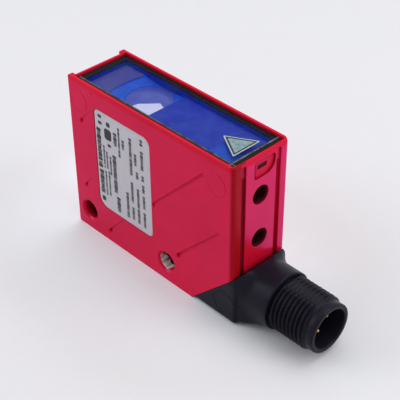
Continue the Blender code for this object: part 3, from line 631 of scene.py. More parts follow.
# dark and light colour, roughness, grain size, bump depth, specular level, metallic, blotch size
MOULDED = {
    "grey_plastic": ((0.17, 0.13, 0.085), (0.21, 0.16, 0.10), (0.45, 0.6), 0.35, 0.02, 0.3),
    "flank_plastic": ((0.035, 0.18, 0.66), (0.05, 0.24, 0.76), (0.2, 0.32), 0.6, 0.01, 0.5),
    "seal_rubber": ((0.010, 0.010, 0.011), (0.018, 0.018, 0.019), (0.7, 0.9), 0.15, 0.03, 0.3),
    "pale_label": ((0.30, 0.37, 0.38), (0.42, 0.48, 0.48), (0.4, 0.55), 0.4, 0.008, 0.4, 0.0, 1.5),
    "tinted_label": ((0.10, 0.19, 0.22), (0.21, 0.31, 0.33), (0.35, 0.5), 0.4, 0.008, 0.4, 0.0, 0.8),
    "label_ink": ((0.008, 0.008, 0.014), (0.018, 0.017, 0.024), (0.45, 0.6), 0.2, 0.006, 0.4, 0.0, 0.8),
    "chip_black": ((0.012, 0.012, 0.012), (0.024, 0.024, 0.024), (0.5, 0.7), 0.08, 0.02, 0.4, 0.0, 1.0),
    "ceramic": ((0.36, 0.25, 0.15), (0.47, 0.34, 0.21), (0.35, 0.5), 0.1, 0.01, 0.5, 0.0, 0.5),
    "steel": ((0.50, 0.50, 0.52), (0.66, 0.66, 0.68), (0.22, 0.38), 0.12, 0.006, 0.5, 1.0, 1.0),
    "gold": ((0.50, 0.29, 0.08), (0.64, 0.40, 0.13), (0.22, 0.36), 0.10, 0.004, 0.5, 1.0, 0.7),
    "green_lens": ((0.06, 0.40, 0.09), (0.10, 0.52, 0.13), (0.10, 0.22), 0.5, 0.006, 0.6, 0.0, 0.6),
    "yellow_lens": ((0.70, 0.42, 0.03), (0.85, 0.56, 0.06), (0.10, 0.22), 0.5, 0.006, 0.6, 0.0, 0.6),
}
MATERIALS = {name: moulded(name, *look) for name, look in MOULDED.items()}
MATERIALS.update({
    "red_paint": red_paint(), "black_plastic": black_plastic(), "frame_plastic": frame_plastic(),
    "blue_glass": window_blue(), "clear_glass": lens_glass(), "silver_label": silver_label(),
    "green_board": circuit_board(), "cable_grey": cable_wires(), "blue_plastic": baffle_blue(),
    "glowing_white_highlight": glowing_highlight_patch(),
})


def finish(obj, body, material, *nodes):
    """Paints a piece, makes it ride on its body and hides the CAD nodes it stands for."""
    obj.data.materials.clear()
    obj.data.materials.append(MATERIALS[material].material)
    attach(obj, body)
    if nodes:
        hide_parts(*nodes)
    return obj


# ---- Housing
def slanting_groove(name, place, start, end, deep, shallow, width=1.15):
    """A shallow groove in a side face, with a steep upper wall, that runs out towards its end."""
    way = Vector((end[0] - start[0], end[1] - start[1])).normalized()
    up = Vector((-way.y, way.x))
    loops = []
    for (x, z), depth in ((start, deep), (end, shallow)):
        here = Vector((x, z))
        section = (
            (width * 0.5 + 0.10, -0.30), (width * 0.5, 0.0), (width * 0.5 - 0.14, depth * 0.70),
            (width * 0.5 - 0.45, depth), (-width * 0.5 - 0.05, -0.02), (-width * 0.5 - 0.10, -0.30),
        )
        loops.append([place(*(here + up * across), into) for across, into in section])
    return loft(name, loops)


def side_marks(word, place, inward):
    """The cast marks of one side face: two round pin marks and dots."""
    tools = []
    origin = place(0.0, 0.0, 0.0)
    pins = ((LEFT + 2.95, 32.8, 2.6), (LEFT + 43.6, 32.3, 2.45))
    for i, (x, z, radius) in enumerate(pins):
        ring = [(radius - 0.16, -0.1), (radius - 0.12, 0.0), (radius - 0.06, 0.06), (radius + 0.02, 0.06),
                (radius + 0.10, 0.0), (radius + 0.14, -0.1)]
        tools.append(turned(f"{word}_pin_{i}", (x, origin[1], z), inward, ring, 64, closed=True))
    dots = ((LEFT + 3.2, 27.85, 1.0), (LEFT + 3.2, 11.3, 1.0), (LEFT + 10.5, 2.6, 1.0),
            (LEFT + 32.2, 8.3, 1.0), (LEFT + 7.65, 36.4, 0.6))
    for i, (x, z, small) in enumerate(dots):
        dip = [(0.0, 0.26 * small), (0.22 * small, 0.22 * small), (0.40 * small, 0.02),
               (0.44 * small, -0.1), (0.0, -0.1)]
        tools.append(turned(f"{word}_dot_{i}", (x, origin[1], z), inward, dip, 20))
    return tools


GROOVES = (
    ((LEFT + 3.45, 28.1), (LEFT + 7.3, 31.95), 0.34, 0.10),
    ((LEFT + 3.45, 11.55), (LEFT + 7.3, 15.4), 0.30, 0.10),
    ((LEFT + 10.8, 2.9), (LEFT + 16.2, 8.3), 0.38, 0.10),
    ((LEFT + 25.4, 17.7), (LEFT + 40.3, 32.9), 0.30, 0.50),
    ((LEFT + 32.5, 8.6), (LEFT + 44.7, 21.0), 0.50, 0.30),
)


def make_housing():
    corners = [(LEFT, 0.0), (RIGHT - CUT, 0.0), (RIGHT, CUT), (RIGHT, HEIGHT), (LEFT, HEIGHT)]
    outline = rounded(corners, (0.5, 0.0, 0.0, 0.0, 0.45), 4)
    levels = [(-5.0, RIGHT)]
    for step in range(7):
        turn = math.pi / 2 * step / 6
        levels.append((HEIGHT - BROW_DROP * (1 - math.sin(turn)), RIGHT - BROW * (1 - math.cos(turn))))
    levels.append((HEIGHT + 2.0, RIGHT - BROW))
    loops = []
    for z, end in levels:
        plan = rounded(rectangle((LEFT - 5.0, end), (-SIDE, SIDE)), (0.0, 0.9, 0.9, 0.0), 6)
        loops.append([(x, y, z) for x, y in plan])
    housing = loft("housing_shell", loops)
    carve(housing, [slab("keep_profile", lambda u, v, d: (u, d, v), outline, (-20.0, 20.0))], "INTERSECT")
    inner = SIDE - WALL
    over = HEIGHT + 1.0
    rebate = pocket(
        "cut_rebate", window_side, (LEFT + 1.7, RIGHT - RIM), (RIM - SIDE, SIDE - RIM),
        (0.05, 0.36, 0.36, 0.05), ((0.0, -1.0), (0.0, HEIGHT - REBATE_FLOOR)),
    )
    carve(housing, [
        box("cut_end", (LEFT - 1.0, LEFT + END_SET_BACK), (PLATE - SIDE, SIDE - PLATE), (-1.0, over)),
        box("cut_seat", (LEFT - 1.0, LEFT + END_SHOULDER), (PLATE - SIDE, SIDE - PLATE), (FLOOR, over)),
        box("cut_cavity", (LEFT, CAVITY_RIGHT), (-inner, inner), (FLOOR, over)),
        box("cut_top", (CAVITY_RIGHT - 1.0, RIGHT - 2.0), (-inner, inner), (HEIGHT - 6.6, over)),
        rebate,
    ])
    carve(housing, [
        rod("cut_swivel", FACE_CENTRE - SWIVEL_IN * 3.0, SWIVEL_IN, 4.2, 9.0, 64),
        rod("cut_swivel_seat", FACE_CENTRE + SWIVEL_IN * 5.2, SWIVEL_IN, 5.7, 7.0, 64),
    ])
    soften(housing, 0.13, 3)
    tools = []
    for word, side in (("near", -1), ("far", 1)):
        middle = side * GROOVE_Y
        across = (middle - GROOVE_HALF, middle + GROOVE_HALF)
        rim_levels = ((0.24, -0.3), (0.10, 0.0), (0.03, 0.04), (0.0, 0.12), (-0.05, 0.32), (-0.14, 0.40))
        levels = ((0.19, -0.3), (0.08, 0.0), (0.0, 0.05), (-0.02, 0.14), (-0.06, 0.60), (-0.16, 0.70))
        for part, top, steps in (("rim", HEIGHT - 0.75, rim_levels), ("deep", HEIGHT - 3.5, levels)):
            tools.append(pocket(
                f"cut_groove_{word}_{part}", plug_end, across, (-2.0, top), (0.0, 0.0, 0.5, 0.5), steps,
            ))
    tools.append(pocket(
        "cut_catch", plug_end, CATCH_Y, CATCH_Z, (0.7, 2.6, 0.7, 0.7),
        ((0.10, -0.2), (0.04, 0.0), (0.0, 0.05), (-0.02, 0.12), (-0.05, 0.40), (-0.12, 0.45)), 10,
    ))
    tools.append(pocket(
        "cut_catch_slot", plug_end, SLOT_Y, SLOT_Z, (0.15,) * 4,
        ((0.03, 0.2), (0.03, 0.44), (0.0, 0.47), (-0.02, 0.58)), 3,
    ))
    for i, z in enumerate(TAPPED_Z):
        profile = [(0.0, 5.6), (1.2, 5.0)]
        turns = 6
        for turn in range(turns, 0, -1):
            foot = 0.42 + 0.7 * (turn - 1)
            profile += [(1.88, foot + 0.62), (2.04, foot + 0.35), (1.88, foot + 0.06)]
        profile += [(2.04, 0.30), (2.09, 0.10), (2.14, 0.04), (2.19, 0.0), (2.34, -0.2), (0.0, -0.2)]
        tools.append(turned(f"cut_tapped_{i}", (RIGHT, 0, z), (-1, 0, 0), profile, 48))
    for i, x in enumerate(FIX_X):
        back = [(r, 2 * SIDE - d) for r, d in reversed(FIX_LIP)]
        profile = [(0.0, -0.25), *FIX_LIP, *back, (0.0, 2 * SIDE + 0.25)]
        tools.append(turned(f"cut_fixing_{i}", (x, -SIDE, FIX_Z), (0, 1, 0), profile, 56))
    carve(housing, tools)
    tools = side_marks("near", label_side, (0, 1, 0)) + side_marks("far", far_side, (0, -1, 0))
    for i, (start, end, deep, shallow) in enumerate(GROOVES):
        tools.append(slanting_groove(f"near_slant_{i}", label_side, start, end, deep, shallow))
        tools.append(slanting_groove(f"far_slant_{i}", far_side, start, end, deep, shallow))
    tools.append(pocket(
        "cut_label", label_side, LABEL_X, LABEL_Z, LABEL_RADII,
        ((0.12, -0.2), (0.05, 0.0), (0.0, 0.06), (-0.03, 0.30)), 10,
    ))
    carve(housing, tools)
    for i, (x, z) in enumerate(BOARD_SCREWS):
        shape = [(1.9, 0.0), (1.9, 1.1), (1.7, 1.3)]
        boss = turned(f"boss_{i}", (x, SIDE - WALL + 0.2, z), (0, -1, 0), shape, 24)
        carve(housing, [boss], "UNION")
        carve(housing, [rod(f"cut_boss_{i}", (x, 4.0, z), (0, 1, 0), 1.2, 2.7, 24)])
    finish(shade(housing), BODY, "red_paint", "housing")


def make_end_cover():
    face = LEFT + END_SET_BACK
    outline = [(face, FLOOR + 0.08), (face + 1.0, FLOOR + 0.08), (face + 1.0, REBATE_FLOOR),
               (face + 0.55, REBATE_FLOOR), (face + 0.55, HEIGHT - 0.05), (face, HEIGHT - 0.05)]
    half = SIDE - PLATE - 0.07
    cover = slab("end_cover_plate", lambda u, v, d: (u, d, v), outline, (-half, half))
    soften(cover, 0.15, 3)
    tools = []
    for colour, z in INDICATOR_Z.items():
        mouth = [(0.0, -0.3), (1.35, -0.3), (1.22, 0.0), (1.10, 0.12), (1.08, 2.5), (0.0, 2.5)]
        tools.append(turned(f"cut_{colour}", (face, INDICATOR_Y, z), (1, 0, 0), mouth, 40))
    tools.append(pocket(
        "cut_cover_panel", lambda u, v, d: (face + d, u, v), (-4.9, 4.9), (10.4, 32.6), (1.0,) * 4,
        ((0.10, -0.2), (0.03, 0.0), (0.0, 0.05), (-0.05, 0.16)), 6,
    ))
    carve(cover, tools)
    finish(shade(cover), BODY, "red_paint", "end_cover")
    for colour, z in INDICATOR_Z.items():
        dome = [(math.cos(t), 0.18 - 0.16 * math.sin(t)) for t in (0.3, 0.6, 0.9, 1.2)]
        profile = [(0.0, 1.9), (1.0, 1.9), (1.0, 0.18), *dome, (0.0, 0.02)]
        pipe = turned(f"{colour}_light_pipe", (face, INDICATOR_Y, z), (1, 0, 0), profile, 32)
        finish(shade(pipe), BODY, f"{colour}_lens", f"indicator_window_{colour}")


# ---- Label: plain bars stand for its print
# (thousandths across from the left edge, from and to down from the top, bar height and dash in mm)
PRINT_ROWS = (
    (95, 35, 65, 0.9, 0.0), (95, 100, 130, 0.9, 0.0), (60, 175, 580, 1.05, 1.5),
    (72, 605, 850, 1.05, 1.3), (80, 885, 935, 0.9, 0.0), (235, 140, 250, 1.7, 0.0),
    (248, 70, 115, 0.9, 0.0), (252, 285, 315, 0.8, 0.0), (142, 330, 560, 0.45, 0.8),
    (195, 380, 555, 0.45, 0.7), (258, 410, 610, 0.45, 0.9), (152, 595, 850, 0.45, 0.7),
    (217, 580, 845, 0.45, 0.8), (335, 375, 770, 0.95, 1.0), (375, 800, 955, 0.95, 1.1),
    (370, 135, 265, 0.85, 0.9), (442, 65, 355, 0.5, 0.8), (515, 160, 255, 0.6, 0.7),
    (650, 95, 465, 0.7, 0.75), (555, 680, 945, 0.7, 0.75), (650, 540, 755, 0.65, 0.8),
    (655, 805, 940, 0.65, 0.7), (735, 225, 345, 0.65, 0.7), (755, 400, 470, 0.65, 0.6),
    (758, 575, 950, 0.65, 0.8), (852, 45, 110, 0.7, 0.7), (855, 160, 350, 0.7, 0.75),
    (858, 405, 465, 0.65, 0.6), (862, 500, 585, 0.65, 0.7), (864, 615, 750, 0.65, 0.7),
    (866, 790, 945, 0.65, 0.8),
)


def make_label():
    gap = 0.14
    outline = rounded(rectangle(LABEL_X, LABEL_Z, -gap), [max(r - gap, 0.3) for r in LABEL_RADII], 10)
    base = 0.29
    face = 0.13
    label = slab("label_plate", label_side, outline, (face, base))
    soften(label, 0.03, 2)
    finish(shade(label), BODY, "silver_label", "rating_label")
    bm = bmesh.new()
    left, right = LABEL_X[0] + gap, LABEL_X[1] - gap
    low, high = LABEL_Z[0] + gap, LABEL_Z[1] - gap
    for across, start, stop, size, dash in PRINT_ROWS:
        x = left + (right - left) * (across / 1000)
        top = high - (high - low) * (start / 1000)
        end = high - (high - low) * (stop / 1000)
        step = 0
        while top - end > 0.15:
            dashed = dash * 0.62 * (1.0, 0.55, 1.35, 0.8, 0.45)[step % 5]
            length = min(dashed, top - end) if dash else top - end
            add_bar(bm, x, size * (1.30, 1.0, 1.30, 1.15)[step % 4], top - length, top)
            top -= length + (0.30 if dash and step % 9 == 8 else 0.11)
            step += 1
    ink = new_object("label_print_bars", bm)
    finish(ink, BODY, "label_ink")


def add_bar(bm, x, size, low, high):
    """One printed bar, a hair proud of the label, with its corners cut."""
    face, back = 0.118, 0.135
    c = min(size, high - low) * 0.18
    a, b = x - size / 2, x + size / 2
    corners = ((a + c, low), (b - c, low), (b, low + c), (b, high - c), (b - c, high), (a + c, high),
               (a, high - c), (a, low + c))
    rings = [[bm.verts.new(Vector(label_side(u, v, d)) * MM) for u, v in corners] for d in (face, back)]
    bridge(bm, *rings)
    bm.faces.new(rings[0])
    bm.faces.new(rings[1])


# ---- Window
def make_window():
    outer_x, outer_y = (LEFT + 1.78, RIGHT - 0.66), (0.06 + RIM - SIDE, SIDE - RIM - 0.06)
    outline = rounded(rectangle(outer_x, outer_y), (0.35, 0.30, 0.30, 0.35), 4)
    bezel = slab("window_bezel", window_side, outline, (0.5, 2.2))
    soften(bezel, 0.10, 2)
    steps = ((0.26, 0.30), (0.18, 0.5), (0.12, 0.53), (0.01, 0.66), (0.0, 0.72), (0.0, 1.50),
             (-0.04, 1.52), (-0.04, 3.0))
    carve(bezel, [pocket("cut_open", window_side, OPEN_X, OPEN_Y, (0.4,) * 4, steps)])
    finish(shade(bezel), BODY, "frame_plastic", "window_frame")
    pane = ((-0.02, 0.68), (-0.02, 1.40))
    glass = pocket("window_pane", window_side, OPEN_X, OPEN_Y, (0.4,) * 4, pane)
    finish(shade(glass, 20.0), BODY, "blue_glass", "window_glass")
    gasket_x = (LEFT + 2.6, RIGHT - 0.9)
    gasket = pocket("window_seal", window_side, gasket_x, (-6.7, 6.7), (0.8,) * 4,
                    ((-0.12, 2.28), (0.0, 2.42), (0.0, 2.78), (-0.12, 2.92)), 5)
    inside_x = (gasket_x[0] + 0.7, gasket_x[1] - 0.7)
    through = ((0.0, 2.0), (0.0, 3.2))
    carve(gasket, [pocket("cut_seal", window_side, inside_x, (-6.0, 6.0), (0.4,) * 4, through, 5)])
    finish(shade(gasket), BODY, "seal_rubber", "window_gasket")
    make_sticker()


def inset_triangle(corners, amount):
    """The triangle whose sides lie so far inside another's."""
    points = [Vector(c) for c in corners]
    moved = []
    for i, here in enumerate(points):
        back = (points[i - 1] - here).normalized()
        ahead = (points[(i + 1) % 3] - here).normalized()
        half = back.angle(ahead) / 2
        moved.append(here + (back + ahead).normalized() * amount / math.sin(half))
    return moved


def make_sticker():
    """A plain triangle with a thin border, and nothing drawn on it."""
    corners = ((RIGHT - 10.0, -0.2), (RIGHT - 3.7, -3.9), (RIGHT - 3.7, 3.4))
    top = 0.56
    base = slab("window_triangle", window_side, rounded(corners, (0.15,) * 3, 4), (top, top + 0.11))
    finish(shade(soften(base, 0.02, 1)), BODY, "pale_label", "window_sticker")
    outer = rounded(inset_triangle(corners, 0.24), (0.12,) * 3, 3)
    inner = rounded(inset_triangle(corners, 0.60), (0.10,) * 3, 3)
    middle = rounded(inset_triangle(corners, 0.55), (0.10,) * 3, 3)
    field = slab("window_triangle_field", window_side, middle, (top - 0.004, top + 0.02))
    finish(field, BODY, "tinted_label")
    bm = bmesh.new()
    high, low = top - 0.008, top + 0.02
    rings = []
    for outline, depth in ((outer, high), (inner, high), (inner, low), (outer, low)):
        rings.append([bm.verts.new(Vector(window_side(*p, depth)) * MM) for p in outline])
    for k in range(4):
        bridge(bm, rings[k], rings[(k + 1) % 4])
    finish(new_object("window_triangle_border", bm), BODY, "label_ink")


# ---- Optics behind the window
# (radius, height) of the lens's seat and the shallow rings round it
RINGS = (
    (4.96, 0.0), (4.96, 0.70), (5.55, 0.74), (5.6, 0.82), (6.1, 0.90), (6.15, 0.98), (6.7, 1.06),
    (6.75, 1.14), (8.4, 1.34), (8.4, 3.0),
)


def make_optics():
    radius, dome = 4.9, 0.75
    bend = (radius ** 2 + dome ** 2) / (2 * dome)
    rim = limits("receiver_lens")[2][0] + 0.4
    profile = [(0.0, rim), (radius - 0.1, rim), (radius, rim + 0.1)]
    for step in range(18, -1, -1):
        r = radius * step / 18
        profile.append((r, rim + 0.5 + dome - (bend - math.sqrt(bend ** 2 - r ** 2))))
    lens = turned("receiver_lens_dome", (LENS_X, LENS_Y, 0), (0, 0, 1), profile, 96)
    finish(shade(lens), BODY, "clear_glass", "receiver_lens")

    holder = box("lens_mount", (LEFT + 4.5, LEFT + 21.5), (-5.4, 5.4), (33.2, HEIGHT - 1.73))
    soften(holder, 0.1, 2)
    carve(holder, [
        turned("cut_seat", (LENS_X, LENS_Y, rim - 0.1), (0, 0, 1), RINGS, 96),
        rod("cut_view", (LENS_X, LENS_Y, 32.2), (0, 0, 1), 4.4, 3.0, 64),
    ])
    finish(shade(holder), BODY, "flank_plastic", "lens_holder")

    outline = rectangle((LEFT + 3.62, LENS_X), (-BAFFLE_HALF, BAFFLE_HALF))
    left = slab("left_baffle_plate", window_side, outline, (BAFFLE_TOP, 1.71))
    carve(left, [rod("cut_arc", (LEFT + 27.8, 0, 30.0), (0, 0, 1), 18.9, 10.0, 256)])
    finish(shade(soften(left, 0.03, 2)), BODY, "grey_plastic", "left_baffle")
    outline = rectangle((LEFT + 21.6, RIGHT - 2.72), (-BAFFLE_HALF, BAFFLE_HALF))
    right = slab("right_baffle_plate", window_side, outline, (BAFFLE_TOP, 2.2))
    finish(shade(soften(right, 0.06, 2)), BODY, "blue_plastic", "right_baffle")

    # a glowing white patch beside the lens's near edge, a painted highlight for the bright reflection in
    # the lens
    patch = ((-7.6, -4.9), (-2.3, -4.9), (-2.3, -0.9), (-2.6, -0.35), (-4.25, 0.25), (-7.2, -3.0))
    segment = loft("painted_highlight_patch", [[(x, y, height) for x, y in patch] for height in (36.05, 36.25)])
    finish(shade(soften(segment, 0.06, 2)), BODY, "glowing_white_highlight")


# ---- Swivelling connector
def elbow_reach(angle, half, low, high, corners):
    """How far a rounded rectangle about the plug's axis reaches at an angle."""
    c, s = math.cos(angle), math.sin(angle)
    top = s > 0
    across, up = half / max(abs(c), 1e-9), (high if top else low) / max(abs(s), 1e-9)
    reach = min(across, up)
    radius = corners[1] if top else corners[0]
    ox, oz = half - radius, (high if top else low) - radius
    if abs(reach * c) > ox and abs(reach * s) > oz:
        along_centre = abs(c) * ox + abs(s) * oz
        reach = along_centre + math.sqrt(max(along_centre ** 2 - ox ** 2 - oz ** 2 + radius ** 2, 0.0))
    return reach


def make_elbow():
    shift = 0.10 * math.sqrt(2.0)
    foot = RIGHT - CUT + shift
    half = SIDE - 0.04
    facets = 240
    block_end, barrel_start = RIGHT + 0.1, RIGHT + 3.4
    stations = [(foot - 3.0, 0.0, 1.0), (block_end, 0.0, 1.0)]
    for step in range(1, 5):
        turn = step / 4 * math.pi / 2
        stations.append((block_end + 0.75 * math.sin(turn), 0.55 * (1 - math.cos(turn)), 1.0))
    x0 = block_end + 0.75
    for step in range(1, 13):
        t = step / 12
        stations.append((x0 + (barrel_start - x0) * t, 0.55 * (1 - t), (1 - t) ** 2.2))
    for step in range(1, 9):
        stations.append((barrel_start + (BARREL_END - 0.5 - barrel_start) * step / 8, 0.0, 0.0))
    stations += [(BARREL_END - 0.14, 0.0, 0.0), (BARREL_END - 0.04, 0.0, -0.05), (BARREL_END, 0.0, -0.14)]
    loops = []
    for x, shrink, share in stations:
        loop = []
        slow = min(max((BARREL_END - 0.5 - x) / (BARREL_END - 0.5 - x0), 0.0), 1.0) ** 1.5
        for i in range(facets):
            angle = math.tau * (i + 0.5) / facets
            rect = elbow_reach(angle, half, PLUG_Z - 0.02, BARREL_RADIUS, (1.1, 3.2)) - shrink
            below = min(max(-math.sin(angle) * 1.6 - 0.1, 0.0), 1.0)
            mixed = share + (slow - share) * below * below * (3 - 2 * below) if 0 <= share < 1 else share
            reach = BARREL_RADIUS + (rect - BARREL_RADIUS) * mixed if share >= 0 else BARREL_RADIUS + share
            loop.append((x, reach * math.cos(angle), PLUG_Z + reach * math.sin(angle)))
        loops.append(loop)
    elbow = loft("connector_elbow_body", loops)
    far = 60.0
    front = [(foot - 0.02, -0.02), (foot + far, -0.02), (foot + far, far)]
    carve(elbow, [slab("keep_front", lambda u, v, d: (u, d, v), front, (-20.0, 20.0))], "INTERSECT")
    stub = turned("stub", FACE_CENTRE - SWIVEL_IN * 2.0, SWIVEL_IN, [
        (3.9, 0.0), (3.9, 3.6), (3.1, 3.6), (3.1, 5.0), (3.9, 5.0), (3.9, 7.45), (3.4, 7.45),
        (3.4, 8.45), (3.9, 8.45), (3.9, 9.2), (3.7, 9.4),
    ], 64)
    carve(elbow, [stub], "UNION")
    mark = [(2.68, -0.1), (2.72, 0.0), (2.77, 0.08), (2.85, 0.08), (2.92, 0.0), (2.96, -0.1)]
    tools = [
        turned("mark_near", (RIGHT - 2.2, -half, 4.4), (0, 1, 0), mark, 64, closed=True),
        turned("mark_far", (RIGHT - 2.2, half, 4.4), (0, -1, 0), mark, 64, closed=True),
        rod("cut_bore", (RIGHT + 0.4, 0, PLUG_Z), (1, 0, 0), 3.4, 9.0, 48),
        rod("cut_tail", (RIGHT + 4.0, 0, PLUG_Z), (1, 0, 0), 5.2, 9.0, 96),
        rod("cut_link", (RIGHT - 3.6, 0, PLUG_Z), (1, 0, 0), 2.6, 5.0, 32),
        rod("cut_stub", FACE_CENTRE - SWIVEL_IN * 3.6, SWIVEL_IN, 2.6, 12.0, 48),
    ]
    carve(elbow, tools)
    finish(shade(elbow), PLUG, "black_plastic", "connector_elbow")


def make_sleeve():
    """The plug's sleeve, with a real helical thread that two moulding flats cut short."""
    columns, pitch = 144, 1.0
    crest, root, flat = 5.93, 5.36, 5.50
    start, stop = THREAD
    shape = ((0.0, root), (0.12, root), (0.30, crest - 0.08), (0.36, crest), (0.46, crest),
             (0.52, crest - 0.08), (0.70, root + 0.02), (0.85, root))
    count = len(shape)
    turns = int((stop - start) / pitch) + 3
    bm = bmesh.new()

    def point(angle, radius, place):
        reach = abs(math.sin(angle))
        if reach * radius > flat:
            radius = flat / reach
        return bm.verts.new((radius * math.cos(angle) * MM, radius * math.sin(angle) * MM, place * MM))

    grid = []
    for column in range(columns):
        angle = math.tau * column / columns
        line = []
        for row in range(turns * count):
            phase, radius = shape[row % count]
            place = start - pitch + pitch * (row // count + phase + column / columns)
            place = min(max(place, start), stop)
            fade = min((place - start) / 0.12, (stop - place) / 0.8, 1.0)
            line.append(point(angle, root + (radius - root) * max(fade, 0.0) ** 0.7, place))
        grid.append(line)
    last = turns * count - 1
    for column in range(columns):
        here = grid[column]
        there, skip = (grid[column + 1], 0) if column + 1 < columns else (grid[0], count)
        for row in range(last):
            a, b = min(row + skip, last), min(row + 1 + skip, last)
            corners = (here[row], here[row + 1], there[b], there[a])
            if len(set(corners)) > 2:
                bm.faces.new(list(dict.fromkeys(corners)))
    collar = 5.4
    tail = RIGHT + 4.1
    profile = [
        (root, stop), (collar, stop + 0.12), (collar, PLUG_END - 0.26), (collar - 0.07, PLUG_END - 0.08),
        (collar - 0.25, PLUG_END), (4.62, PLUG_END), (4.42, PLUG_END - 0.08), (4.34, PLUG_END - 0.28),
        (4.32, RIGHT + 10.2), (4.32, tail), (5.12, tail), (5.12, BARREL_END - 0.04),
        (5.0, BARREL_END + 0.02), (5.0, start - 0.02), (root, start),
    ]
    rings = []
    for radius, height in profile:
        rings.append([point(math.tau * column / columns, radius, height) for column in range(columns)])
    for low, high in zip(rings, rings[1:]):
        bridge(bm, low, high)
    bmesh.ops.remove_doubles(bm, verts=bm.verts, dist=0.0005 * MM)
    bmesh.ops.dissolve_degenerate(bm, edges=bm.edges, dist=0.0005 * MM)
    bm.transform(along((0, 0, PLUG_Z), (1, 0, 0)))
    sleeve = new_object("threaded_plug_sleeve", bm)
    sleeve.data.shade_smooth()
    sleeve.data.set_sharp_from_angle(angle=math.radians(50.0))
    finish(sleeve, PLUG, "black_plastic", "threaded_sleeve")


def make_contacts():
    back = RIGHT + 5.6
    front = RIGHT + 10.5
    profile = [(0.0, back), (4.26, back), (4.26, front - 0.15), (4.1, front), (1.0, front),
               (0.9, front - 0.12), (0.0, front - 0.12)]
    insert = turned("contact_carrier", (0, 0, PLUG_Z), (1, 0, 0), profile, 72)
    tools = []
    places = []
    for i in range(4):
        a = math.radians(90.0 * i)
        places.append((PIN_CIRCLE * math.cos(a), PLUG_Z + PIN_CIRCLE * math.sin(a)))
    thick = front - back
    mouth = [(0.0, -1.0), (0.55, -1.0), (0.55, thick - 0.25), (0.85, thick + 0.05), (0.85, 8.0), (0.0, 8.0)]
    for i, (y, z) in enumerate(places):
        tools.append(turned(f"cut_pin_{i}", (back, y, z), (1, 0, 0), mouth, 28))
    carve(insert, tools)
    finish(shade(insert), PLUG, "black_plastic", "contact_insert")
    length = limits("contact_pin_1")[0][1] - limits("contact_pin_1")[0][0]
    tip = ((0.5, 0.6), (0.49, 0.4), (0.43, 0.2), (0.33, 0.07), (0.18, 0.0))
    tip = [(r, length - short) for r, short in tip]
    profile = [(0.0, 0.0), (0.42, 0.0), (0.5, 0.1), *tip, (0.0, length)]
    for i, (y, z) in enumerate(places):
        pin = turned(f"gold_pin_{i + 1}", (back - 0.8, y, z), (1, 0, 0), profile, 24)
        finish(shade(pin), PLUG, "gold", f"contact_pin_{i + 1}")
    key = pocket(
        "socket_key", lambda u, v, d: (d, u, v), (-0.55, 0.55), (PLUG_Z + 3.85, PLUG_Z + 4.6),
        (0.25, 0.25, 0.1, 0.1), ((0.0, front - 0.2), (0.0, PLUG_END - 1.7), (-0.12, PLUG_END - 1.5)), 4,
    )
    finish(shade(key), PLUG, "black_plastic")


# ---- Pieces kept from the CAD
KEPT = {
    "black_plastic": ("optics_carrier",),
    "gold": ("laser_diode",),
    "clear_glass": ("collimator_lens", "beam_splitter"),
    "green_board": ("receiver_board", "main_board"),
    "chip_black": ("photodiode", "controller_chip", "amplifier_chip", "regulator_chip"),
    "steel": ("board_screw_1", "board_screw_2", "retaining_ring"),
    "ceramic": ("capacitor_1", "capacitor_2", "capacitor_3"),
    "green_lens": ("led_green",),
    "yellow_lens": ("led_yellow",),
    "grey_plastic": ("wire_socket",),
    "seal_rubber": ("swivel_seal",),
    "cable_grey": ("wire_bundle",),
}


def paint_kept():
    for material, nodes in KEPT.items():
        for name in nodes:
            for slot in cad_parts[name].material_slots:
                slot.material = MATERIALS[material].material


# ---- Floor, light and camera
def make_stage():
    low = CAD_BOX[0][2]
    bm = bmesh.new()
    corners = rectangle((-FLOOR_SIZE, FLOOR_SIZE), (-FLOOR_SIZE, FLOOR_SIZE))
    bm.faces.new([bm.verts.new((x, y, low)) for x, y in corners])
    floor = new_object("floor", bm)
    n = Nodes("floor_card")
    plain = n.blend(n.noise(3.0, 6.0), (0.640, 0.648, 0.664), (0.662, 0.670, 0.686))
    x, y, _ = n.axes()
    away = []
    for value, low, high in ((x, LEFT, RIGHT - CUT), (y, -SIDE, SIDE)):
        off = n.size(n.minus(value, (low + high) / 2 * MM))
        away.append(n.most(n.minus(off, (high - low) / 2 * MM), 0.0))
    # painted light: the floor is paler and bluer near the object, to lighten its shadows and the red light
    # it throws
    painted_light_near_object = n.span(n.length(*away), 1.0, 26.0, (1.0, 0.0))
    n.colour(n.blend(n.maths("POWER", painted_light_near_object, 1.5), plain, (0.85, 0.94, 0.97)))
    n.roughness((0.75, 0.9), 2.0)
    n.set(Specular_IOR_Level=0.2)
    n.bump(n.noise(0.4, 3.0), 0.2, 0.03)
    floor.data.materials.append(n.material)


def area_light(name, place, target, size, power, colour):
    light = bpy.data.lights.new(name, "AREA")
    light.shape = "SQUARE"
    light.size = size
    light.energy = power
    light.color = colour
    obj = bpy.data.objects.new(name, light)
    obj.location = place
    obj.rotation_euler = (Vector(target) - Vector(place)).to_track_quat("-Z", "Y").to_euler()
    bpy.context.scene.collection.objects.link(obj)


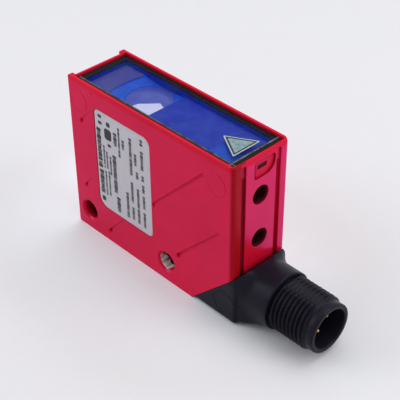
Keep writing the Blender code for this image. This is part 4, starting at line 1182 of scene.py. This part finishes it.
def make_light(middle):
    """A pale dome that is dimmer towards the viewer, and three soft lights."""
    world = bpy.data.worlds.new("soft_studio")
    world.use_nodes = True
    tree = world.node_tree
    sky = tree.nodes["Background"]
    sky.inputs["Color"].default_value = (0.97, 0.97, 1.0, 1.0)
    place = tree.nodes.new("ShaderNodeTexCoord")
    facing = tree.nodes.new("ShaderNodeVectorMath")
    facing.operation = "DOT_PRODUCT"
    facing.inputs[1].default_value = (0.68, -0.66, 0.32)
    strength = tree.nodes.new("ShaderNodeMapRange")
    strength.interpolation_type = "SMOOTHSTEP"
    for socket, value in (("From Min", 0.35), ("From Max", 0.98), ("To Min", 0.90), ("To Max", 0.42)):
        strength.inputs[socket].default_value = value
    tree.links.new(place.outputs["Generated"], facing.inputs[0])
    tree.links.new(facing.outputs["Value"], strength.inputs["Value"])
    tree.links.new(strength.outputs["Result"], sky.inputs["Strength"])
    bpy.context.scene.world = world
    area_light("overhead", middle + Vector((0.05, 0.18, 0.55)), middle, 0.45, 1.25, (1.0, 0.99, 0.98))
    area_light("left_front", middle + Vector((-0.40, -0.34, 0.26)), middle, 0.35, 0.95, (1.0, 0.98, 1.0))
    area_light("right_back", middle + Vector((0.46, 0.22, 0.22)), middle, 0.30, 0.9, (1.0, 0.98, 1.0))


def make_camera(middle):
    """The view, placed by its direction and distance from the object's middle."""
    right = Vector((0.6942, 0.7197, -0.0052))
    up = Vector((-0.4301, 0.4207, 0.7988))
    back = right.cross(up).normalized()
    up = back.cross(right).normalized()
    data = bpy.data.cameras.new("camera")
    data.sensor_width = 36.0
    data.lens = 97.25
    data.clip_start = 0.01
    data.clip_end = 20.0
    camera = bpy.data.objects.new("camera", data)
    aim = middle + Vector((-2.2, 0.0, -0.6)) * MM
    turn = Matrix((right.normalized(), up, back)).transposed().to_4x4()
    camera.matrix_world = Matrix.Translation(aim + back * 220.1 * MM) @ turn
    bpy.context.scene.collection.objects.link(camera)
    bpy.context.scene.camera = camera


make_housing()
make_end_cover()
make_label()
make_window()
make_optics()
make_elbow()
make_sleeve()
make_contacts()
paint_kept()
MIDDLE = (Vector(CAD_BOX[0]) + Vector(CAD_BOX[1])) / 2
make_stage()
make_light(MIDDLE)
make_camera(MIDDLE)
bpy.context.scene.view_settings.view_transform = "Standard"
